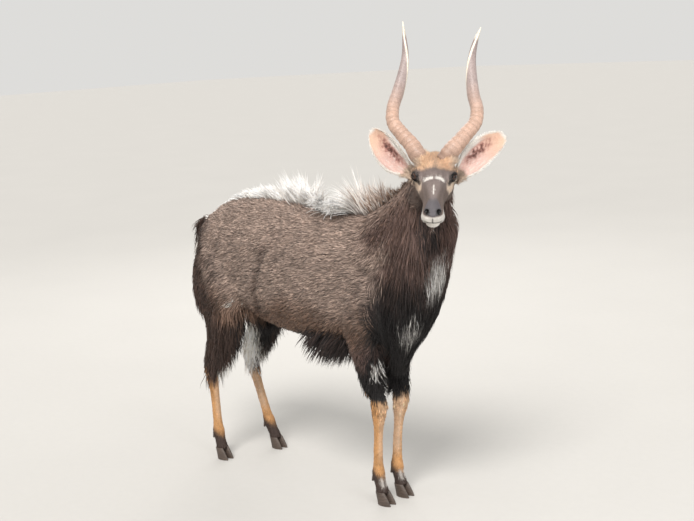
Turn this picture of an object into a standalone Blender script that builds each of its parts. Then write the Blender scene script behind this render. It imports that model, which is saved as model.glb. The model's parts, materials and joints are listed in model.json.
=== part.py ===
"""A male nyala, life size, standing with its head turned to its right, parted into named pieces.

The flesh is lofted from stations of real sizes, made one surface, and parted with thin cuts.
X runs forward, Y to the animal's left and Z up, and the hooves stand on the floor at Z = 0.
"""

import math
import random

import bmesh
import bpy
import numpy as np
from mathutils import Matrix, Vector
from mathutils.bvhtree import BVHTree

# Driving dimensions, in metres
PART_GAP = 0.0005
SEAT_GAP = 0.0003
BODY_VOXEL = 0.0065
HEAD_VOXEL = 0.0030
HEAD_SOFTENING = 14
BODY_TRIANGLES = 3600
HEAD_TRIANGLES = 2300
CORONET_HEIGHT = 0.046

# The trunk: place along X, height of the back, height of the underside, half width
TRUNK = (
    (-0.550, 0.945, 0.830, 0.040),
    (-0.522, 0.995, 0.775, 0.078),
    (-0.455, 1.040, 0.700, 0.118),
    (-0.365, 1.070, 0.645, 0.142),
    (-0.250, 1.084, 0.606, 0.152),
    (-0.120, 1.084, 0.580, 0.158),
    (0.020, 1.072, 0.562, 0.166),
    (0.150, 1.058, 0.555, 0.168),
    (0.260, 1.054, 0.558, 0.158),
    (0.350, 1.058, 0.570, 0.142),
    (0.440, 1.035, 0.600, 0.126),
    (0.520, 0.972, 0.665, 0.098),
    (0.570, 0.900, 0.740, 0.058),
)
# Each row below: centre X, Y, Z, half width, reach to the front or back side, reach to the other side
NECK = (
    (0.360, 0.000, 0.860, 0.112, 0.165, 0.190),
    (0.460, 0.002, 0.945, 0.100, 0.140, 0.155),
    (0.545, 0.010, 1.030, 0.085, 0.110, 0.118),
    (0.606, 0.018, 1.110, 0.071, 0.084, 0.088),
    (0.646, 0.022, 1.175, 0.062, 0.068, 0.072),
    (0.668, 0.018, 1.228, 0.050, 0.048, 0.052),
)
FORELEG = (
    (0.400, 0.080, 0.860, 0.050, 0.085, 0.110),
    (0.418, 0.094, 0.760, 0.056, 0.098, 0.108),
    (0.415, 0.096, 0.670, 0.053, 0.082, 0.096),
    (0.408, 0.090, 0.600, 0.047, 0.060, 0.074),
    (0.409, 0.080, 0.530, 0.040, 0.048, 0.052),
    (0.418, 0.070, 0.460, 0.034, 0.038, 0.038),
    (0.428, 0.062, 0.412, 0.030, 0.032, 0.030),
    (0.432, 0.058, 0.375, 0.033, 0.035, 0.030),
    (0.428, 0.056, 0.336, 0.0270, 0.0280, 0.0270),
    (0.422, 0.054, 0.290, 0.0190, 0.0205, 0.0210),
    (0.413, 0.052, 0.205, 0.0175, 0.0190, 0.0200),
    (0.409, 0.051, 0.142, 0.0190, 0.0205, 0.0220),
    (0.408, 0.050, 0.108, 0.0240, 0.0245, 0.0275),
    (0.413, 0.050, 0.080, 0.0220, 0.0225, 0.0235),
    (0.419, 0.050, 0.058, 0.0235, 0.0235, 0.0225),
    (0.423, 0.050, 0.030, 0.0270, 0.0270, 0.0260),
)
HINDLEG = (
    (-0.365, 0.070, 0.900, 0.062, 0.130, 0.118),
    (-0.368, 0.094, 0.800, 0.075, 0.148, 0.142),
    (-0.358, 0.108, 0.700, 0.071, 0.132, 0.142),
    (-0.350, 0.112, 0.610, 0.058, 0.104, 0.110),
    (-0.376, 0.108, 0.530, 0.045, 0.075, 0.074),
    (-0.416, 0.104, 0.460, 0.034, 0.052, 0.050),
    (-0.446, 0.102, 0.410, 0.028, 0.036, 0.038),
    (-0.458, 0.102, 0.372, 0.027, 0.031, 0.036),
    (-0.454, 0.102, 0.330, 0.0240, 0.0270, 0.0285),
    (-0.447, 0.102, 0.280, 0.0195, 0.0225, 0.0235),
    (-0.438, 0.104, 0.200, 0.0185, 0.0205, 0.0215),
    (-0.432, 0.106, 0.140, 0.0200, 0.0215, 0.0225),
    (-0.428, 0.107, 0.108, 0.0245, 0.0255, 0.0275),
    (-0.421, 0.108, 0.080, 0.0220, 0.0225, 0.0235),
    (-0.414, 0.109, 0.058, 0.0235, 0.0235, 0.0225),
    (-0.409, 0.110, 0.030, 0.0270, 0.0270, 0.0260),
)
TAIL = (
    (-0.515, 0.000, 0.972, 0.022, 0.020, 0.020),
    (-0.556, 0.000, 0.962, 0.026, 0.018, 0.020),
    (-0.584, 0.000, 0.915, 0.030, 0.016, 0.018),
    (-0.594, 0.000, 0.820, 0.032, 0.014, 0.016),
    (-0.596, 0.000, 0.720, 0.028, 0.012, 0.013),
    (-0.594, 0.000, 0.640, 0.016, 0.008, 0.009),
    (-0.592, 0.000, 0.600, 0.006, 0.004, 0.004),
)
# The dense hair under the mane's locks, no more than half way out to their tips
MANE_CORE = (
    (0.640, 0.018, 1.120, 0.070, 0.040, 0.060),
    (0.640, 0.020, 1.040, 0.092, 0.046, 0.090),
    (0.620, 0.020, 0.950, 0.106, 0.050, 0.100),
    (0.595, 0.015, 0.860, 0.110, 0.056, 0.110),
    (0.570, 0.010, 0.770, 0.098, 0.056, 0.120),
    (0.540, 0.000, 0.690, 0.076, 0.046, 0.120),
    (0.515, 0.000, 0.620, 0.045, 0.030, 0.090),
    (0.500, 0.000, 0.585, 0.020, 0.016, 0.050),
)
# How far the left hind foot is set ahead of the right one, eased out at the hock
LEFT_HIND_STEP = 0.078
RIGHT_HIND_STEP = -0.008
STEP_TOP = 0.410

# The head's own frame: origin at the back of the skull, turned to the right and pitched down
SKULL_BACK = Vector((0.6664, 0.0233, 1.233))
HEAD_TURN = math.radians(-53.0)
HEAD_PITCH = math.radians(28.0)
HEAD_ROLL = math.radians(-3.5)
# The level frame that the horns and ears are placed in, turned with the head
LEVEL_ORIGIN = Vector((0.662, 0.020, 1.233))
# Place along the head, height of the line, half width, reach up, reach down
SKULL = (
    (-0.030, 0.0, 0.034, 0.034, 0.045),
    (0.000, 0.0, 0.050, 0.048, 0.058),
    (0.045, 0.0, 0.060, 0.060, 0.072),
    (0.085, 0.0, 0.064, 0.063, 0.072),
    (0.115, 0.0, 0.063, 0.060, 0.064),
    (0.145, 0.0, 0.052, 0.054, 0.055),
    (0.180, 0.0, 0.041, 0.047, 0.044),
    (0.215, 0.0, 0.035, 0.041, 0.036),
    (0.245, 0.0, 0.034, 0.036, 0.031),
    (0.270, 0.0, 0.035, 0.030, 0.028),
    (0.290, 0.0, 0.033, 0.022, 0.025),
    (0.304, 0.0, 0.022, 0.011, 0.016),
)
JAW = (
    (0.030, -0.048, 0.034, 0.030, 0.040),
    (0.070, -0.056, 0.038, 0.030, 0.040),
    (0.115, -0.053, 0.034, 0.028, 0.034),
    (0.165, -0.046, 0.028, 0.022, 0.025),
    (0.215, -0.041, 0.024, 0.016, 0.018),
    (0.255, -0.038, 0.025, 0.012, 0.015),
    (0.280, -0.036, 0.020, 0.009, 0.012),
    (0.290, -0.035, 0.012, 0.006, 0.007),
)
EYE_PLACE = (0.114, 0.0535, 0.030)
EYE_RADIUS = 0.0185
LID_THICKNESS = 0.0035
# Rounded forms of the head: place along, out and up, then the three radii
HEAD_FORMS = {
    "brow": ((0.100, 0.051, 0.034), (0.042, 0.026, 0.017)),
    "cheek": ((0.062, 0.036, -0.036), (0.062, 0.026, 0.050)),
    "cheekbone": ((0.150, 0.036, 0.002), (0.055, 0.014, 0.012)),
    "horn_boss": ((0.040, 0.042, 0.046), (0.036, 0.030, 0.022)),
    "ear_root": ((0.036, 0.052, -0.030), (0.030, 0.019, 0.026)),
    "upper_lip": ((0.268, 0.021, -0.015), (0.030, 0.018, 0.013)),
    "nose_wing": ((0.284, 0.019, 0.005), (0.018, 0.014, 0.014)),
}
MUZZLE_PAD = ((0.289, 0.0, 0.004), (0.018, 0.022, 0.018))

# Each horn's line in the level frame of the head: back, out, height above the floor, then radius
HORN_LEFT = (
    (-0.052, 0.032, 1.250, 0.0250),
    (-0.050, 0.055, 1.276, 0.0285),
    (-0.030, 0.086, 1.306, 0.0272),
    (-0.008, 0.110, 1.331, 0.0258),
    (0.021, 0.139, 1.362, 0.0240),
    (0.052, 0.147, 1.399, 0.0228),
    (0.092, 0.137, 1.450, 0.0210),
    (0.131, 0.131, 1.512, 0.0184),
    (0.164, 0.133, 1.574, 0.0140),
    (0.187, 0.148, 1.633, 0.0085),
    (0.197, 0.165, 1.672, 0.0014),
)
HORN_RIGHT = (
    (-0.052, 0.028, 1.248, 0.0250),
    (-0.052, 0.049, 1.275, 0.0285),
    (-0.030, 0.069, 1.304, 0.0272),
    (-0.003, 0.100, 1.336, 0.0256),
    (0.032, 0.132, 1.377, 0.0236),
    (0.064, 0.1355, 1.414, 0.0223),
    (0.109, 0.119, 1.474, 0.0202),
    (0.142, 0.103, 1.533, 0.0172),
    (0.173, 0.094, 1.592, 0.0126),
    (0.192, 0.096, 1.649, 0.0077),
    (0.203, 0.100, 1.705, 0.0014),
)
HORN_KEEL = 0.16
HORN_TWIST = math.radians(300.0)

# Each ear in the level frame of the head: root and tip, both forwards, out and up, then half its width
EARS = {
    1: ((0.010, 0.0655, -0.055), (-0.022, 0.2345, 0.088), 0.046),
    -1: ((0.010, 0.061, -0.036), (-0.022, 0.205, 0.122), 0.047),
}
EAR_THICKNESS = 0.0045
EAR_WIDTHS = (
    (0.0, 0.34), (0.10, 0.38), (0.20, 0.62), (0.33, 0.90), (0.50, 1.0),
    (0.68, 0.97), (0.83, 0.78), (0.94, 0.48), (1.0, 0.16),
)


def smooth_rows(rows, count):
    """Rows of numbers read at even steps along a smooth curve through them."""
    rows = np.array(rows, float)
    steps = np.linalg.norm(np.diff(rows[:, :3], axis=0), axis=1)
    at = np.concatenate([[0.0], np.cumsum(steps)])
    slopes = np.gradient(rows, at, axis=0)
    where = np.linspace(0.0, at[-1], count)
    low = np.clip(np.searchsorted(at, where, side="right") - 1, 0, len(at) - 2)
    span = (at[low + 1] - at[low])[:, None]
    t = (where - at[low])[:, None] / span
    near = (2 * t**3 - 3 * t**2 + 1) * rows[low] + (t**3 - 2 * t**2 + t) * span * slopes[low]
    far = (3 * t**2 - 2 * t**3) * rows[low + 1] + (t**3 - t**2) * span * slopes[low + 1]
    return near + far


def new_object(name, points, faces):
    """A mesh object in the scene from points and faces."""
    mesh = bpy.data.meshes.new(name)
    mesh.from_pydata([tuple(p) for p in points], [], faces)
    made = bpy.data.objects.new(name, mesh)
    bpy.context.scene.collection.objects.link(made)
    return made


def rings_object(name, rings):
    """A closed tube through rings of equally many points."""
    count, sides = len(rings), len(rings[0])
    faces = [tuple(range(sides))[::-1]]
    for ring in range(count - 1):
        for side in range(sides):
            after = (side + 1) % sides
            low, high = ring * sides, (ring + 1) * sides
            faces.append((low + side, low + after, high + after, high + side))
    faces.append(tuple(range((count - 1) * sides, count * sides)))
    made = new_object(name, np.concatenate(rings), faces)
    point_outwards(made)
    return made


def point_outwards(made):
    """Turns every face of a closed mesh outwards."""
    shape = bmesh.new()
    shape.from_mesh(made.data)
    bmesh.ops.recalc_face_normals(shape, faces=shape.faces)
    shape.to_mesh(made.data)
    shape.free()


def loft(name, rows, up, sides=24, count=40, square=2.0):
    """A closed tube through rows of centre, half width, reach along up and reach against it."""
    rows = smooth_rows(rows, count)
    line = np.gradient(rows[:, :3], axis=0)
    line /= np.linalg.norm(line, axis=1)[:, None]
    side = np.cross(np.array(up, float), line)
    side /= np.linalg.norm(side, axis=1)[:, None]
    rise = np.cross(line, side)
    angles = np.linspace(0.0, 2 * math.pi, sides, endpoint=False)
    across = np.sign(np.cos(angles)) * np.abs(np.cos(angles)) ** (2 / square)
    along = np.sign(np.sin(angles)) * np.abs(np.sin(angles)) ** (2 / square)
    rings = []
    for k, (centre, sizes) in enumerate(zip(rows[:, :3], rows[:, 3:6])):
        reach = np.where(along > 0, sizes[1], sizes[2])
        rings.append(centre + np.outer(across * sizes[0], side[k]) + np.outer(along * reach, rise[k]))
    return rings_object(name, rings)


def head_matrix():
    """The head's frame: along the face, to its left, and up from it."""
    turn = Matrix.Rotation(HEAD_TURN, 4, "Z")
    pitch = Matrix.Rotation(HEAD_PITCH, 4, "Y")
    return Matrix.Translation(SKULL_BACK) @ turn @ pitch @ Matrix.Rotation(HEAD_ROLL, 4, "X")


def level_matrix():
    """The head's frame turned with it but level, with its origin on the floor."""
    return Matrix.Translation((LEVEL_ORIGIN.x, LEVEL_ORIGIN.y, 0.0)) @ Matrix.Rotation(HEAD_TURN, 4, "Z")


def head_point(place, side=1):
    return head_matrix() @ Vector((place[0], place[1] * side, place[2]))


def ball(name, place, radii, frame, segments=20):
    """An ellipsoid at a place in a frame."""
    bpy.ops.mesh.primitive_uv_sphere_add(segments=segments, ring_count=segments // 2, radius=1.0)
    made = bpy.context.object
    made.name = name
    made.data.transform(frame @ Matrix.Translation(place) @ Matrix.Diagonal((*radii, 1.0)))
    return made


def head_forms():
    """The skull, the jaw and the rounded forms of the head, as overlapping pieces."""
    frame = head_matrix()
    pieces = []
    for name, rows in (("skull", SKULL), ("jaw", JAW)):
        piece = loft(name, [(s, 0.0, w, a, b, c) for s, w, a, b, c in rows], (0, 0, 1), square=2.2)
        piece.data.transform(frame)
        pieces.append(piece)
    for side in (1, -1):
        for name, (place, radii) in HEAD_FORMS.items():
            pieces.append(ball(name, (place[0], place[1] * side, place[2]), radii, frame))
        lid = EYE_RADIUS + LID_THICKNESS
        place = (EYE_PLACE[0], EYE_PLACE[1] * side, EYE_PLACE[2])
        pieces.append(ball("lids", place, (lid, lid, lid), frame))
    pieces.append(ball("muzzle_pad", *MUZZLE_PAD, frame))
    return pieces


def neck_form():
    return loft("neck_form", NECK, (-0.6, 0.0, 0.8))


def leg_rows(rows, side, step):
    """A leg's rows for one side, its foot set forward by step and eased out above."""
    out = []
    for x, y, z, width, front, back in rows:
        share = min(1.0, max(0.0, (STEP_TOP - z) / (STEP_TOP - CORONET_HEIGHT)))
        out.append((x + step * share, y * side, z, width, front, back))
    return out


def body_forms():
    """The trunk, neck and legs, as overlapping pieces."""
    rows = []
    for x, top, bottom, width in TRUNK:
        middle = bottom + 0.48 * (top - bottom)
        rows.append((x, 0.0, middle, width, top - middle, middle - bottom))
    pieces = [loft("trunk", rows, (0, 0, 1), sides=32, count=60), neck_form()]
    pieces.append(loft("mane_core", MANE_CORE, (1, 0, 0)))
    for side in (1, -1):
        step = LEFT_HIND_STEP if side == 1 else RIGHT_HIND_STEP
        pieces.append(loft("foreleg_form", leg_rows(FORELEG, side, 0.0), (1, 0, 0), count=80))
        pieces.append(loft("hindleg_form", leg_rows(HINDLEG, side, step), (1, 0, 0), count=80))
    return pieces


def evaluated(made):
    """A new mesh of an object as its modifiers leave it."""
    graph = bpy.context.evaluated_depsgraph_get()
    return bpy.data.meshes.new_from_object(made.evaluated_get(graph))


def apply_all(made):
    """Applies an object's modifiers to its mesh."""
    mesh = evaluated(made)
    made.modifiers.clear()
    made.data = mesh
    return made


def one_surface(name, pieces, voxel):
    """Overlapping closed pieces made one closed surface of small even faces."""
    shape = bmesh.new()
    for piece in pieces:
        shape.from_mesh(piece.data)
        bpy.data.objects.remove(piece)
    mesh = bpy.data.meshes.new(name)
    shape.to_mesh(mesh)
    shape.free()
    made = bpy.data.objects.new(name, mesh)
    bpy.context.scene.collection.objects.link(made)
    skin = made.modifiers.new("one surface", "REMESH")
    skin.mode = "VOXEL"
    skin.voxel_size = voxel
    return apply_all(made)


def relax(made, rounds, weight=None):
    """Smooths a mesh by moving each point towards its neighbours' middle."""
    mesh = made.data
    count = len(mesh.vertices)
    points = np.empty(count * 3)
    mesh.vertices.foreach_get("co", points)
    points = points.reshape(-1, 3)
    edges = np.empty(len(mesh.edges) * 2, int)
    mesh.edges.foreach_get("vertices", edges)
    edges = edges.reshape(-1, 2)
    ends = np.concatenate([edges[:, 0], edges[:, 1]])
    others = np.concatenate([edges[:, 1], edges[:, 0]])
    degree = np.bincount(ends, minlength=count)[:, None]
    share = 0.5 if weight is None else 0.5 * weight(points)[:, None]
    for _ in range(rounds):
        sums = [np.bincount(ends, points[others, axis], minlength=count) for axis in range(3)]
        points = points + share * (np.stack(sums, axis=1) / degree - points)
    mesh.vertices.foreach_set("co", points.ravel())
    mesh.update()


def thin_out(made, triangles):
    """Simplifies a mesh to about a number of triangles."""
    made.data.calc_loop_triangles()
    fewer = made.modifiers.new("fewer faces", "DECIMATE")
    fewer.ratio = triangles / len(made.data.loop_triangles)
    return apply_all(made)


def copy_of(made, name):
    other = bpy.data.objects.new(name, made.data.copy())
    bpy.context.scene.collection.objects.link(other)
    return other


def boolean(made, other, operation, remove=True):
    """Joins, cuts or intersects one closed mesh with another."""
    cut = made.modifiers.new(operation.lower(), "BOOLEAN")
    cut.operation = operation
    cut.solver = "MANIFOLD"
    cut.object = other
    apply_all(made)
    if remove:
        bpy.data.objects.remove(other)
    return made


def box(name, low, high, frame=None):
    """A box between two corners of a frame."""
    low, high = Vector(low), Vector(high)
    bpy.ops.mesh.primitive_cube_add(size=1.0)
    made = bpy.context.object
    made.name = name
    place = Matrix.Translation((low + high) / 2) @ Matrix.Diagonal((*(high - low), 1.0))
    made.data.transform((frame or Matrix.Identity(4)) @ place)
    return made


def largest_shell(made):
    """Keeps only the closed surface that holds the most, and drops scraps and sealed hollows."""
    shape = bmesh.new()
    shape.from_mesh(made.data)
    left, shells = set(shape.verts), []
    while left:
        shell, edge = set(), [left.pop()]
        while edge:
            vert = edge.pop()
            shell.add(vert)
            for link in vert.link_edges:
                other = link.other_vert(vert)
                if other in left:
                    left.discard(other)
                    edge.append(other)
        shells.append(shell)

    def holds(shell):
        total = 0.0
        for face in {face for vert in shell for face in vert.link_faces}:
            corners = [loop.vert.co for loop in face.loops]
            for k in range(1, len(corners) - 1):
                total += corners[0].dot(corners[k].cross(corners[k + 1]))
        return total

    shells.sort(key=holds, reverse=True)
    drop = [vert for shell in shells[1:] for vert in shell]
    bmesh.ops.delete(shape, geom=drop, context="VERTS")
    bmesh.ops.triangulate(shape, faces=shape.faces)
    shape.to_mesh(made.data)
    shape.free()


def swollen(made, by):
    """A copy of a closed mesh with every face moved outwards by about the same amount."""
    other = copy_of(made, made.name + "_swollen")
    shape = bmesh.new()
    shape.from_mesh(other.data)
    shape.normal_update()
    moves = [vert.normal * by * min(3.0, vert.calc_shell_factor()) for vert in shape.verts]
    for vert, move in zip(shape.verts, moves):
        vert.co += move
    shape.to_mesh(other.data)
    shape.free()
    return other


def seat(made, *others):
    """Cuts a piece clear of what it grows from, leaving the seat gap."""
    for other in others:
        boolean(made, swollen(other, SEAT_GAP), "DIFFERENCE")
    largest_shell(made)
    return made


def frame_along(point, along, left):
    """A frame at a point whose X runs along one direction and Y near another."""
    x = Vector(along).normalized()
    z = x.cross(Vector(left)).normalized()
    y = z.cross(x)
    turn = Matrix((x, y, z)).transposed().to_4x4()
    return Matrix.Translation(point) @ turn


HEAD_CUT_PLACE = (-0.020, 0.0, 0.0)
HEAD_CUT_PITCH = math.radians(-15.0)
NECK_CUT_POINT = (0.455, 0.0, 0.905)
NECK_CUT_NORMAL = (0.8, 0.0, 0.6)
FORELEG_TOP = 0.540
HIND_CUT_FRONT = (-0.210, 0.0, 0.592)
HIND_CUT_SLOPE = math.radians(-15.0)
BIG = 1.2


def head_box(behind):
    """The space in front of the cut between head and neck, begun this far behind the cut."""
    turn = Matrix.Rotation(HEAD_TURN, 4, "Z") @ Matrix.Rotation(HEAD_CUT_PITCH, 4, "Y")
    frame = Matrix.Translation(head_point(HEAD_CUT_PLACE)) @ turn
    return box("head_box", (-behind, -0.3, -0.3), (0.5, 0.3, 0.4), frame)


def neck_box(behind):
    """The space above and ahead of the cut between neck and trunk."""
    frame = frame_along(NECK_CUT_POINT, NECK_CUT_NORMAL, (0, 1, 0))
    return box("neck_box", (-behind, -0.5, -BIG), (BIG, 0.5, BIG), frame)


def foreleg_box(side, above):
    low, high = sorted((side * (PART_GAP / 2 - above), side * 0.5))
    return box("foreleg_box", (0.10, low, -0.1), (0.9, high, FORELEG_TOP + above))


def hindleg_box(side, above):
    frame = Matrix.Translation(HIND_CUT_FRONT) @ Matrix.Rotation(-HIND_CUT_SLOPE, 4, "Y")
    low, high = sorted((side * (PART_GAP / 2 - above), side * 0.5))
    return box("hindleg_box", (-0.7, low, -0.9), (0.15 + above, high, above), frame)


def split_body():
    """The trunk, neck and legs made one surface, then parted with thin cuts."""
    whole = one_surface("whole", body_forms() + head_forms(), BODY_VOXEL)
    relax(whole, 14, lambda p: np.clip((p[:, 2] - 0.30) / 0.25, 0.15, 1.0))
    thin_out(whole, BODY_TRIANGLES)
    head_part = head_box(PART_GAP)
    nodes = {}
    neck = boolean(copy_of(whole, "neck"), neck_box(0.0), "INTERSECT")
    nodes["neck"] = boolean(neck, head_part, "DIFFERENCE")
    torso = boolean(copy_of(whole, "torso"), neck_box(PART_GAP), "DIFFERENCE")
    sole = box("above_coronet", (-BIG, -1, CORONET_HEIGHT), (BIG, 1, 2))
    for side, word in ((1, "left"), (-1, "right")):
        for name, region in (("foreleg", foreleg_box), ("hindleg", hindleg_box)):
            leg = boolean(copy_of(whole, f"{name}_{word}"), region(side, 0.0), "INTERSECT")
            nodes[leg.name] = boolean(leg, sole, "INTERSECT", remove=False)
            torso = boolean(torso, region(side, PART_GAP), "DIFFERENCE")
    bpy.data.objects.remove(sole)
    nodes["torso"] = torso
    for node in nodes.values():
        largest_shell(node)
    return nodes, whole


def eye_frame(side):
    """The eye's own frame: out of the socket, along the slit of the lids, and up."""
    out = (head_matrix().to_3x3() @ Vector((0.52, 0.72 * side, 0.40))).normalized()
    slit = head_matrix().to_3x3() @ Vector((-0.80, 0.50 * side, 0.20))
    return frame_along(head_point(EYE_PLACE, side), out, slit)


def head_node():
    """The head in finer faces, with the eye sockets, nostrils and mouth cut in."""
    head = one_surface("head", head_forms() + [neck_form()], HEAD_VOXEL)
    relax(head, HEAD_SOFTENING)
    thin_out(head, HEAD_TRIANGLES)
    boolean(head, head_box(0.0), "INTERSECT")
    frame = head_matrix()
    for side in (1, -1):
        socket = EYE_RADIUS + SEAT_GAP
        boolean(head, ball("socket", (0, 0, 0), (socket,) * 3, eye_frame(side), 14), "DIFFERENCE")
        slit = ball("slit", (0.022, 0.0, 0.0), (0.016, 0.0180, 0.0135), eye_frame(side), 14)
        boolean(head, slit, "DIFFERENCE")
        tilt = Matrix.Translation(head_point((0.290, 0.0195, 0.016), side)) @ frame.to_3x3().to_4x4()
        tilt = tilt @ Matrix.Rotation(math.radians(-38.0 * side), 4, "X")
        boolean(head, ball("nostril", (0, 0, 0), (0.014, 0.0075, 0.0042), tilt, 12), "DIFFERENCE")
    boolean(head, mouth_cutter(), "DIFFERENCE")
    largest_shell(head)
    return head


MOUTH = ((0.170, -0.020), (0.205, -0.0235), (0.240, -0.0265), (0.268, -0.0275), (0.292, -0.0265))
MOUTH_DEPTH = 0.007
MOUTH_GAP = 0.0022


def mouth_cutter():
    """A thin wedge round the front of the muzzle, along the line of the mouth."""
    rows = smooth_rows([(s, 0.0, w) for s, w in MOUTH], 9)
    widths = np.interp(rows[:, 0], [0.170, 0.230, 0.268, 0.292], [0.038, 0.030, 0.032, 0.020])
    outer = [(s, a, w) for (s, _, w), a in zip(rows, widths)]
    front = (rows[-1][0] + 0.016, 0.0, rows[-1][2])
    path = outer + [front] + [(s, -a, w) for s, a, w in outer[::-1]]
    middle = np.array([0.215, 0.0, 0.0])
    rings = []
    for k, point in enumerate(np.array(path)):
        inward = (middle - point) * np.array([1.0, 1.0, 0.0])
        inward /= np.linalg.norm(inward)
        if abs(point[1]) > 0.0 and point[0] < 0.275:
            inward = np.array([0.0, -np.sign(point[1]), 0.0])
        gap = MOUTH_GAP * (0.35 if k in (0, len(path) - 1) else 1.0)
        lift = np.array([0.0, 0.0, gap / 2])
        outside = point - inward * 0.02
        rings.append(np.array([outside + lift * 4, point + inward * MOUTH_DEPTH, outside - lift * 4]))
    made = rings_object("mouth_cutter", rings)
    made.data.transform(head_matrix())
    return made


def eye_node(side, word):
    frame = eye_frame(side)
    eye = ball(f"eye_{word}", (0, 0, 0), (EYE_RADIUS,) * 3, frame, 14)
    return eye


def horn_node(side, word):
    """A horn with a keel that winds once round it, its root sunk in the skull."""
    rows = smooth_rows(HORN_LEFT if side == 1 else HORN_RIGHT, 23)
    level = level_matrix()
    line = np.gradient(rows[:, :3] * [-1, side, 1], axis=0)
    sides = 9
    rings = []
    for k, (back, out, height, radius) in enumerate(rows):
        centre = np.array(level @ Vector((-back, out * side, height)))
        along = (level.to_3x3() @ Vector(line[k])).normalized()
        first = (level.to_3x3() @ Vector((1, 0, 0))).cross(along).normalized()
        second = along.cross(first)
        keel = side * HORN_TWIST * k / len(rows)
        ring = []
        for step in range(sides):
            angle = 2 * math.pi * step / sides + keel
            ridge = max(0.0, math.cos(angle - keel)) ** 4 * HORN_KEEL
            reach = radius * (1.0 - HORN_KEEL / 3 + ridge)
            spoke = math.cos(angle) * np.array(first) + math.sin(angle) * np.array(second)
            ring.append(centre + reach * spoke)
        rings.append(np.array(ring))
    return rings_object(f"horn_{word}", rings)


def ear_node(side, word):
    """A cupped leaf, rolled to a tube at its root and open to the front."""
    level = Matrix.Rotation(HEAD_TURN, 3, "Z")
    root, tip, half_width = EARS[side]
    root = level @ Vector((root[0], root[1] * side, root[2]))
    axis = level @ Vector((tip[0], tip[1] * side, tip[2])) - root
    length = axis.length
    face = level @ Vector((1.0, 0.22 * side, 0.10))
    frame = frame_along(LEVEL_ORIGIN + root, axis, face.cross(axis))
    along_count, across_count = 11, 7
    points, faces = [], []
    facing = 1 if (frame.to_3x3() @ Vector((0, 0, 1))).dot(face) > 0 else -1
    for i in range(along_count):
        t = i / (along_count - 1)
        width = half_width * float(np.interp(t, *zip(*EAR_WIDTHS)))
        curl = math.radians(125.0 - 100.0 * min(1.0, t * 1.5))
        radius = width / math.sin(min(curl, math.pi / 2))
        for j in range(across_count):
            u = 2 * j / (across_count - 1) - 1
            lift = radius * (1 - math.cos(u * curl)) * (0.9 if t > 0 else 0.7)
            tilt = 0.012 * math.sin(math.pi * t)
            points.append(frame @ Vector((length * t, radius * math.sin(u * curl) + tilt, facing * lift)))
    for i in range(along_count - 1):
        for j in range(across_count - 1):
            low = i * across_count + j
            faces.append((low, low + 1, low + across_count + 1, low + across_count))
    ear = new_object(f"ear_{word}", points, faces)
    wall = ear.modifiers.new("wall", "SOLIDIFY")
    wall.thickness = EAR_THICKNESS
    wall.offset = 0.0
    apply_all(ear)
    point_outwards(ear)
    return ear


CLAW_RINGS = (
    (0.0, 0.0, 0.0105, 0.020, 0.020),
    (0.33, 0.006, 0.0115, 0.026, 0.0225),
    (0.70, 0.012, 0.0125, 0.031, 0.0245),
    (1.0, 0.015, 0.0130, 0.034, 0.0255),
)


def claw_node(name, centre, side_in):
    """One half of a cloven hoof, from the coronet down to a flat sole."""
    rings = []
    top = CORONET_HEIGHT - SEAT_GAP
    for drop, forward, width, toe, heel in CLAW_RINGS:
        middle = np.array([centre[0] + forward, centre[1] + side_in * 0.0145, top * (1 - drop)])
        ring = []
        for step in range(10):
            angle = 2 * math.pi * step / 10
            along, across = math.cos(angle), math.sin(angle)
            reach = toe if along > 0 else heel
            pinch = 1.0 - 0.35 * max(0.0, along) ** 2
            point = middle + np.array([reach * along, width * across * pinch, 0.0])
            ring.append(point)
        rings.append(np.array(ring))
    return rings_object(name, rings)


DEWCLAW_HEIGHT = 0.088
DEWCLAW_LENGTH = 0.026


def dewclaw_node(name, fetlock, side_in):
    """A small blunt cone behind the fetlock, pointing down and back."""
    bpy.ops.mesh.primitive_cone_add(vertices=8, radius1=0.0095, radius2=0.004, depth=DEWCLAW_LENGTH)
    made = bpy.context.object
    made.name = name
    place = Vector((fetlock[0] - 0.0265, fetlock[1] + side_in * 0.012, DEWCLAW_HEIGHT))
    turn = Matrix.Rotation(math.radians(205.0), 4, "Y")
    made.data.transform(Matrix.Translation(place) @ turn)
    return made


def tail_node():
    return loft("tail", TAIL, (-0.3, 0.0, 1.0), sides=12, count=18)


# Rows of the mane: height, centre X and Y, half spread in degrees, locks, length
MANE_ROWS = (
    (1.105, 0.640, 0.018, 80.0, 5, 0.150),
    (1.020, 0.600, 0.018, 100.0, 7, 0.175),
    (0.935, 0.560, 0.014, 100.0, 7, 0.195),
    (0.850, 0.520, 0.010, 95.0, 7, 0.205),
    (0.770, 0.490, 0.004, 78.0, 6, 0.205),
    (0.695, 0.460, 0.000, 52.0, 4, 0.175),
)
MANE_WIDTH = 0.074
MANE_SLOPE = (0.10, 0.23)
CREST_COUNT = 24
CREST_SPAN = (-0.505, 0.600)
CREST_LENGTHS = (
    (0.0, 0.060), (0.19, 0.075), (0.37, 0.110), (0.50, 0.122), (0.64, 0.110),
    (0.72, 0.110), (0.80, 0.138), (0.88, 0.115), (1.0, 0.065),
)
CREST_STAND = (
    (0.0, 0.20), (0.19, 0.35), (0.37, 0.90), (0.48, 1.30), (0.60, 0.50),
    (0.72, 0.50), (0.78, 1.60), (0.86, 1.40), (1.0, 0.50),
)
CREST_WIDTH = 0.046
BELLY_COUNT = 13
BELLY_SPAN = (-0.190, 0.265)
BELLY_LENGTHS = ((0.0, 0.060), (0.35, 0.105), (0.75, 0.120), (1.0, 0.090))
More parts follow.
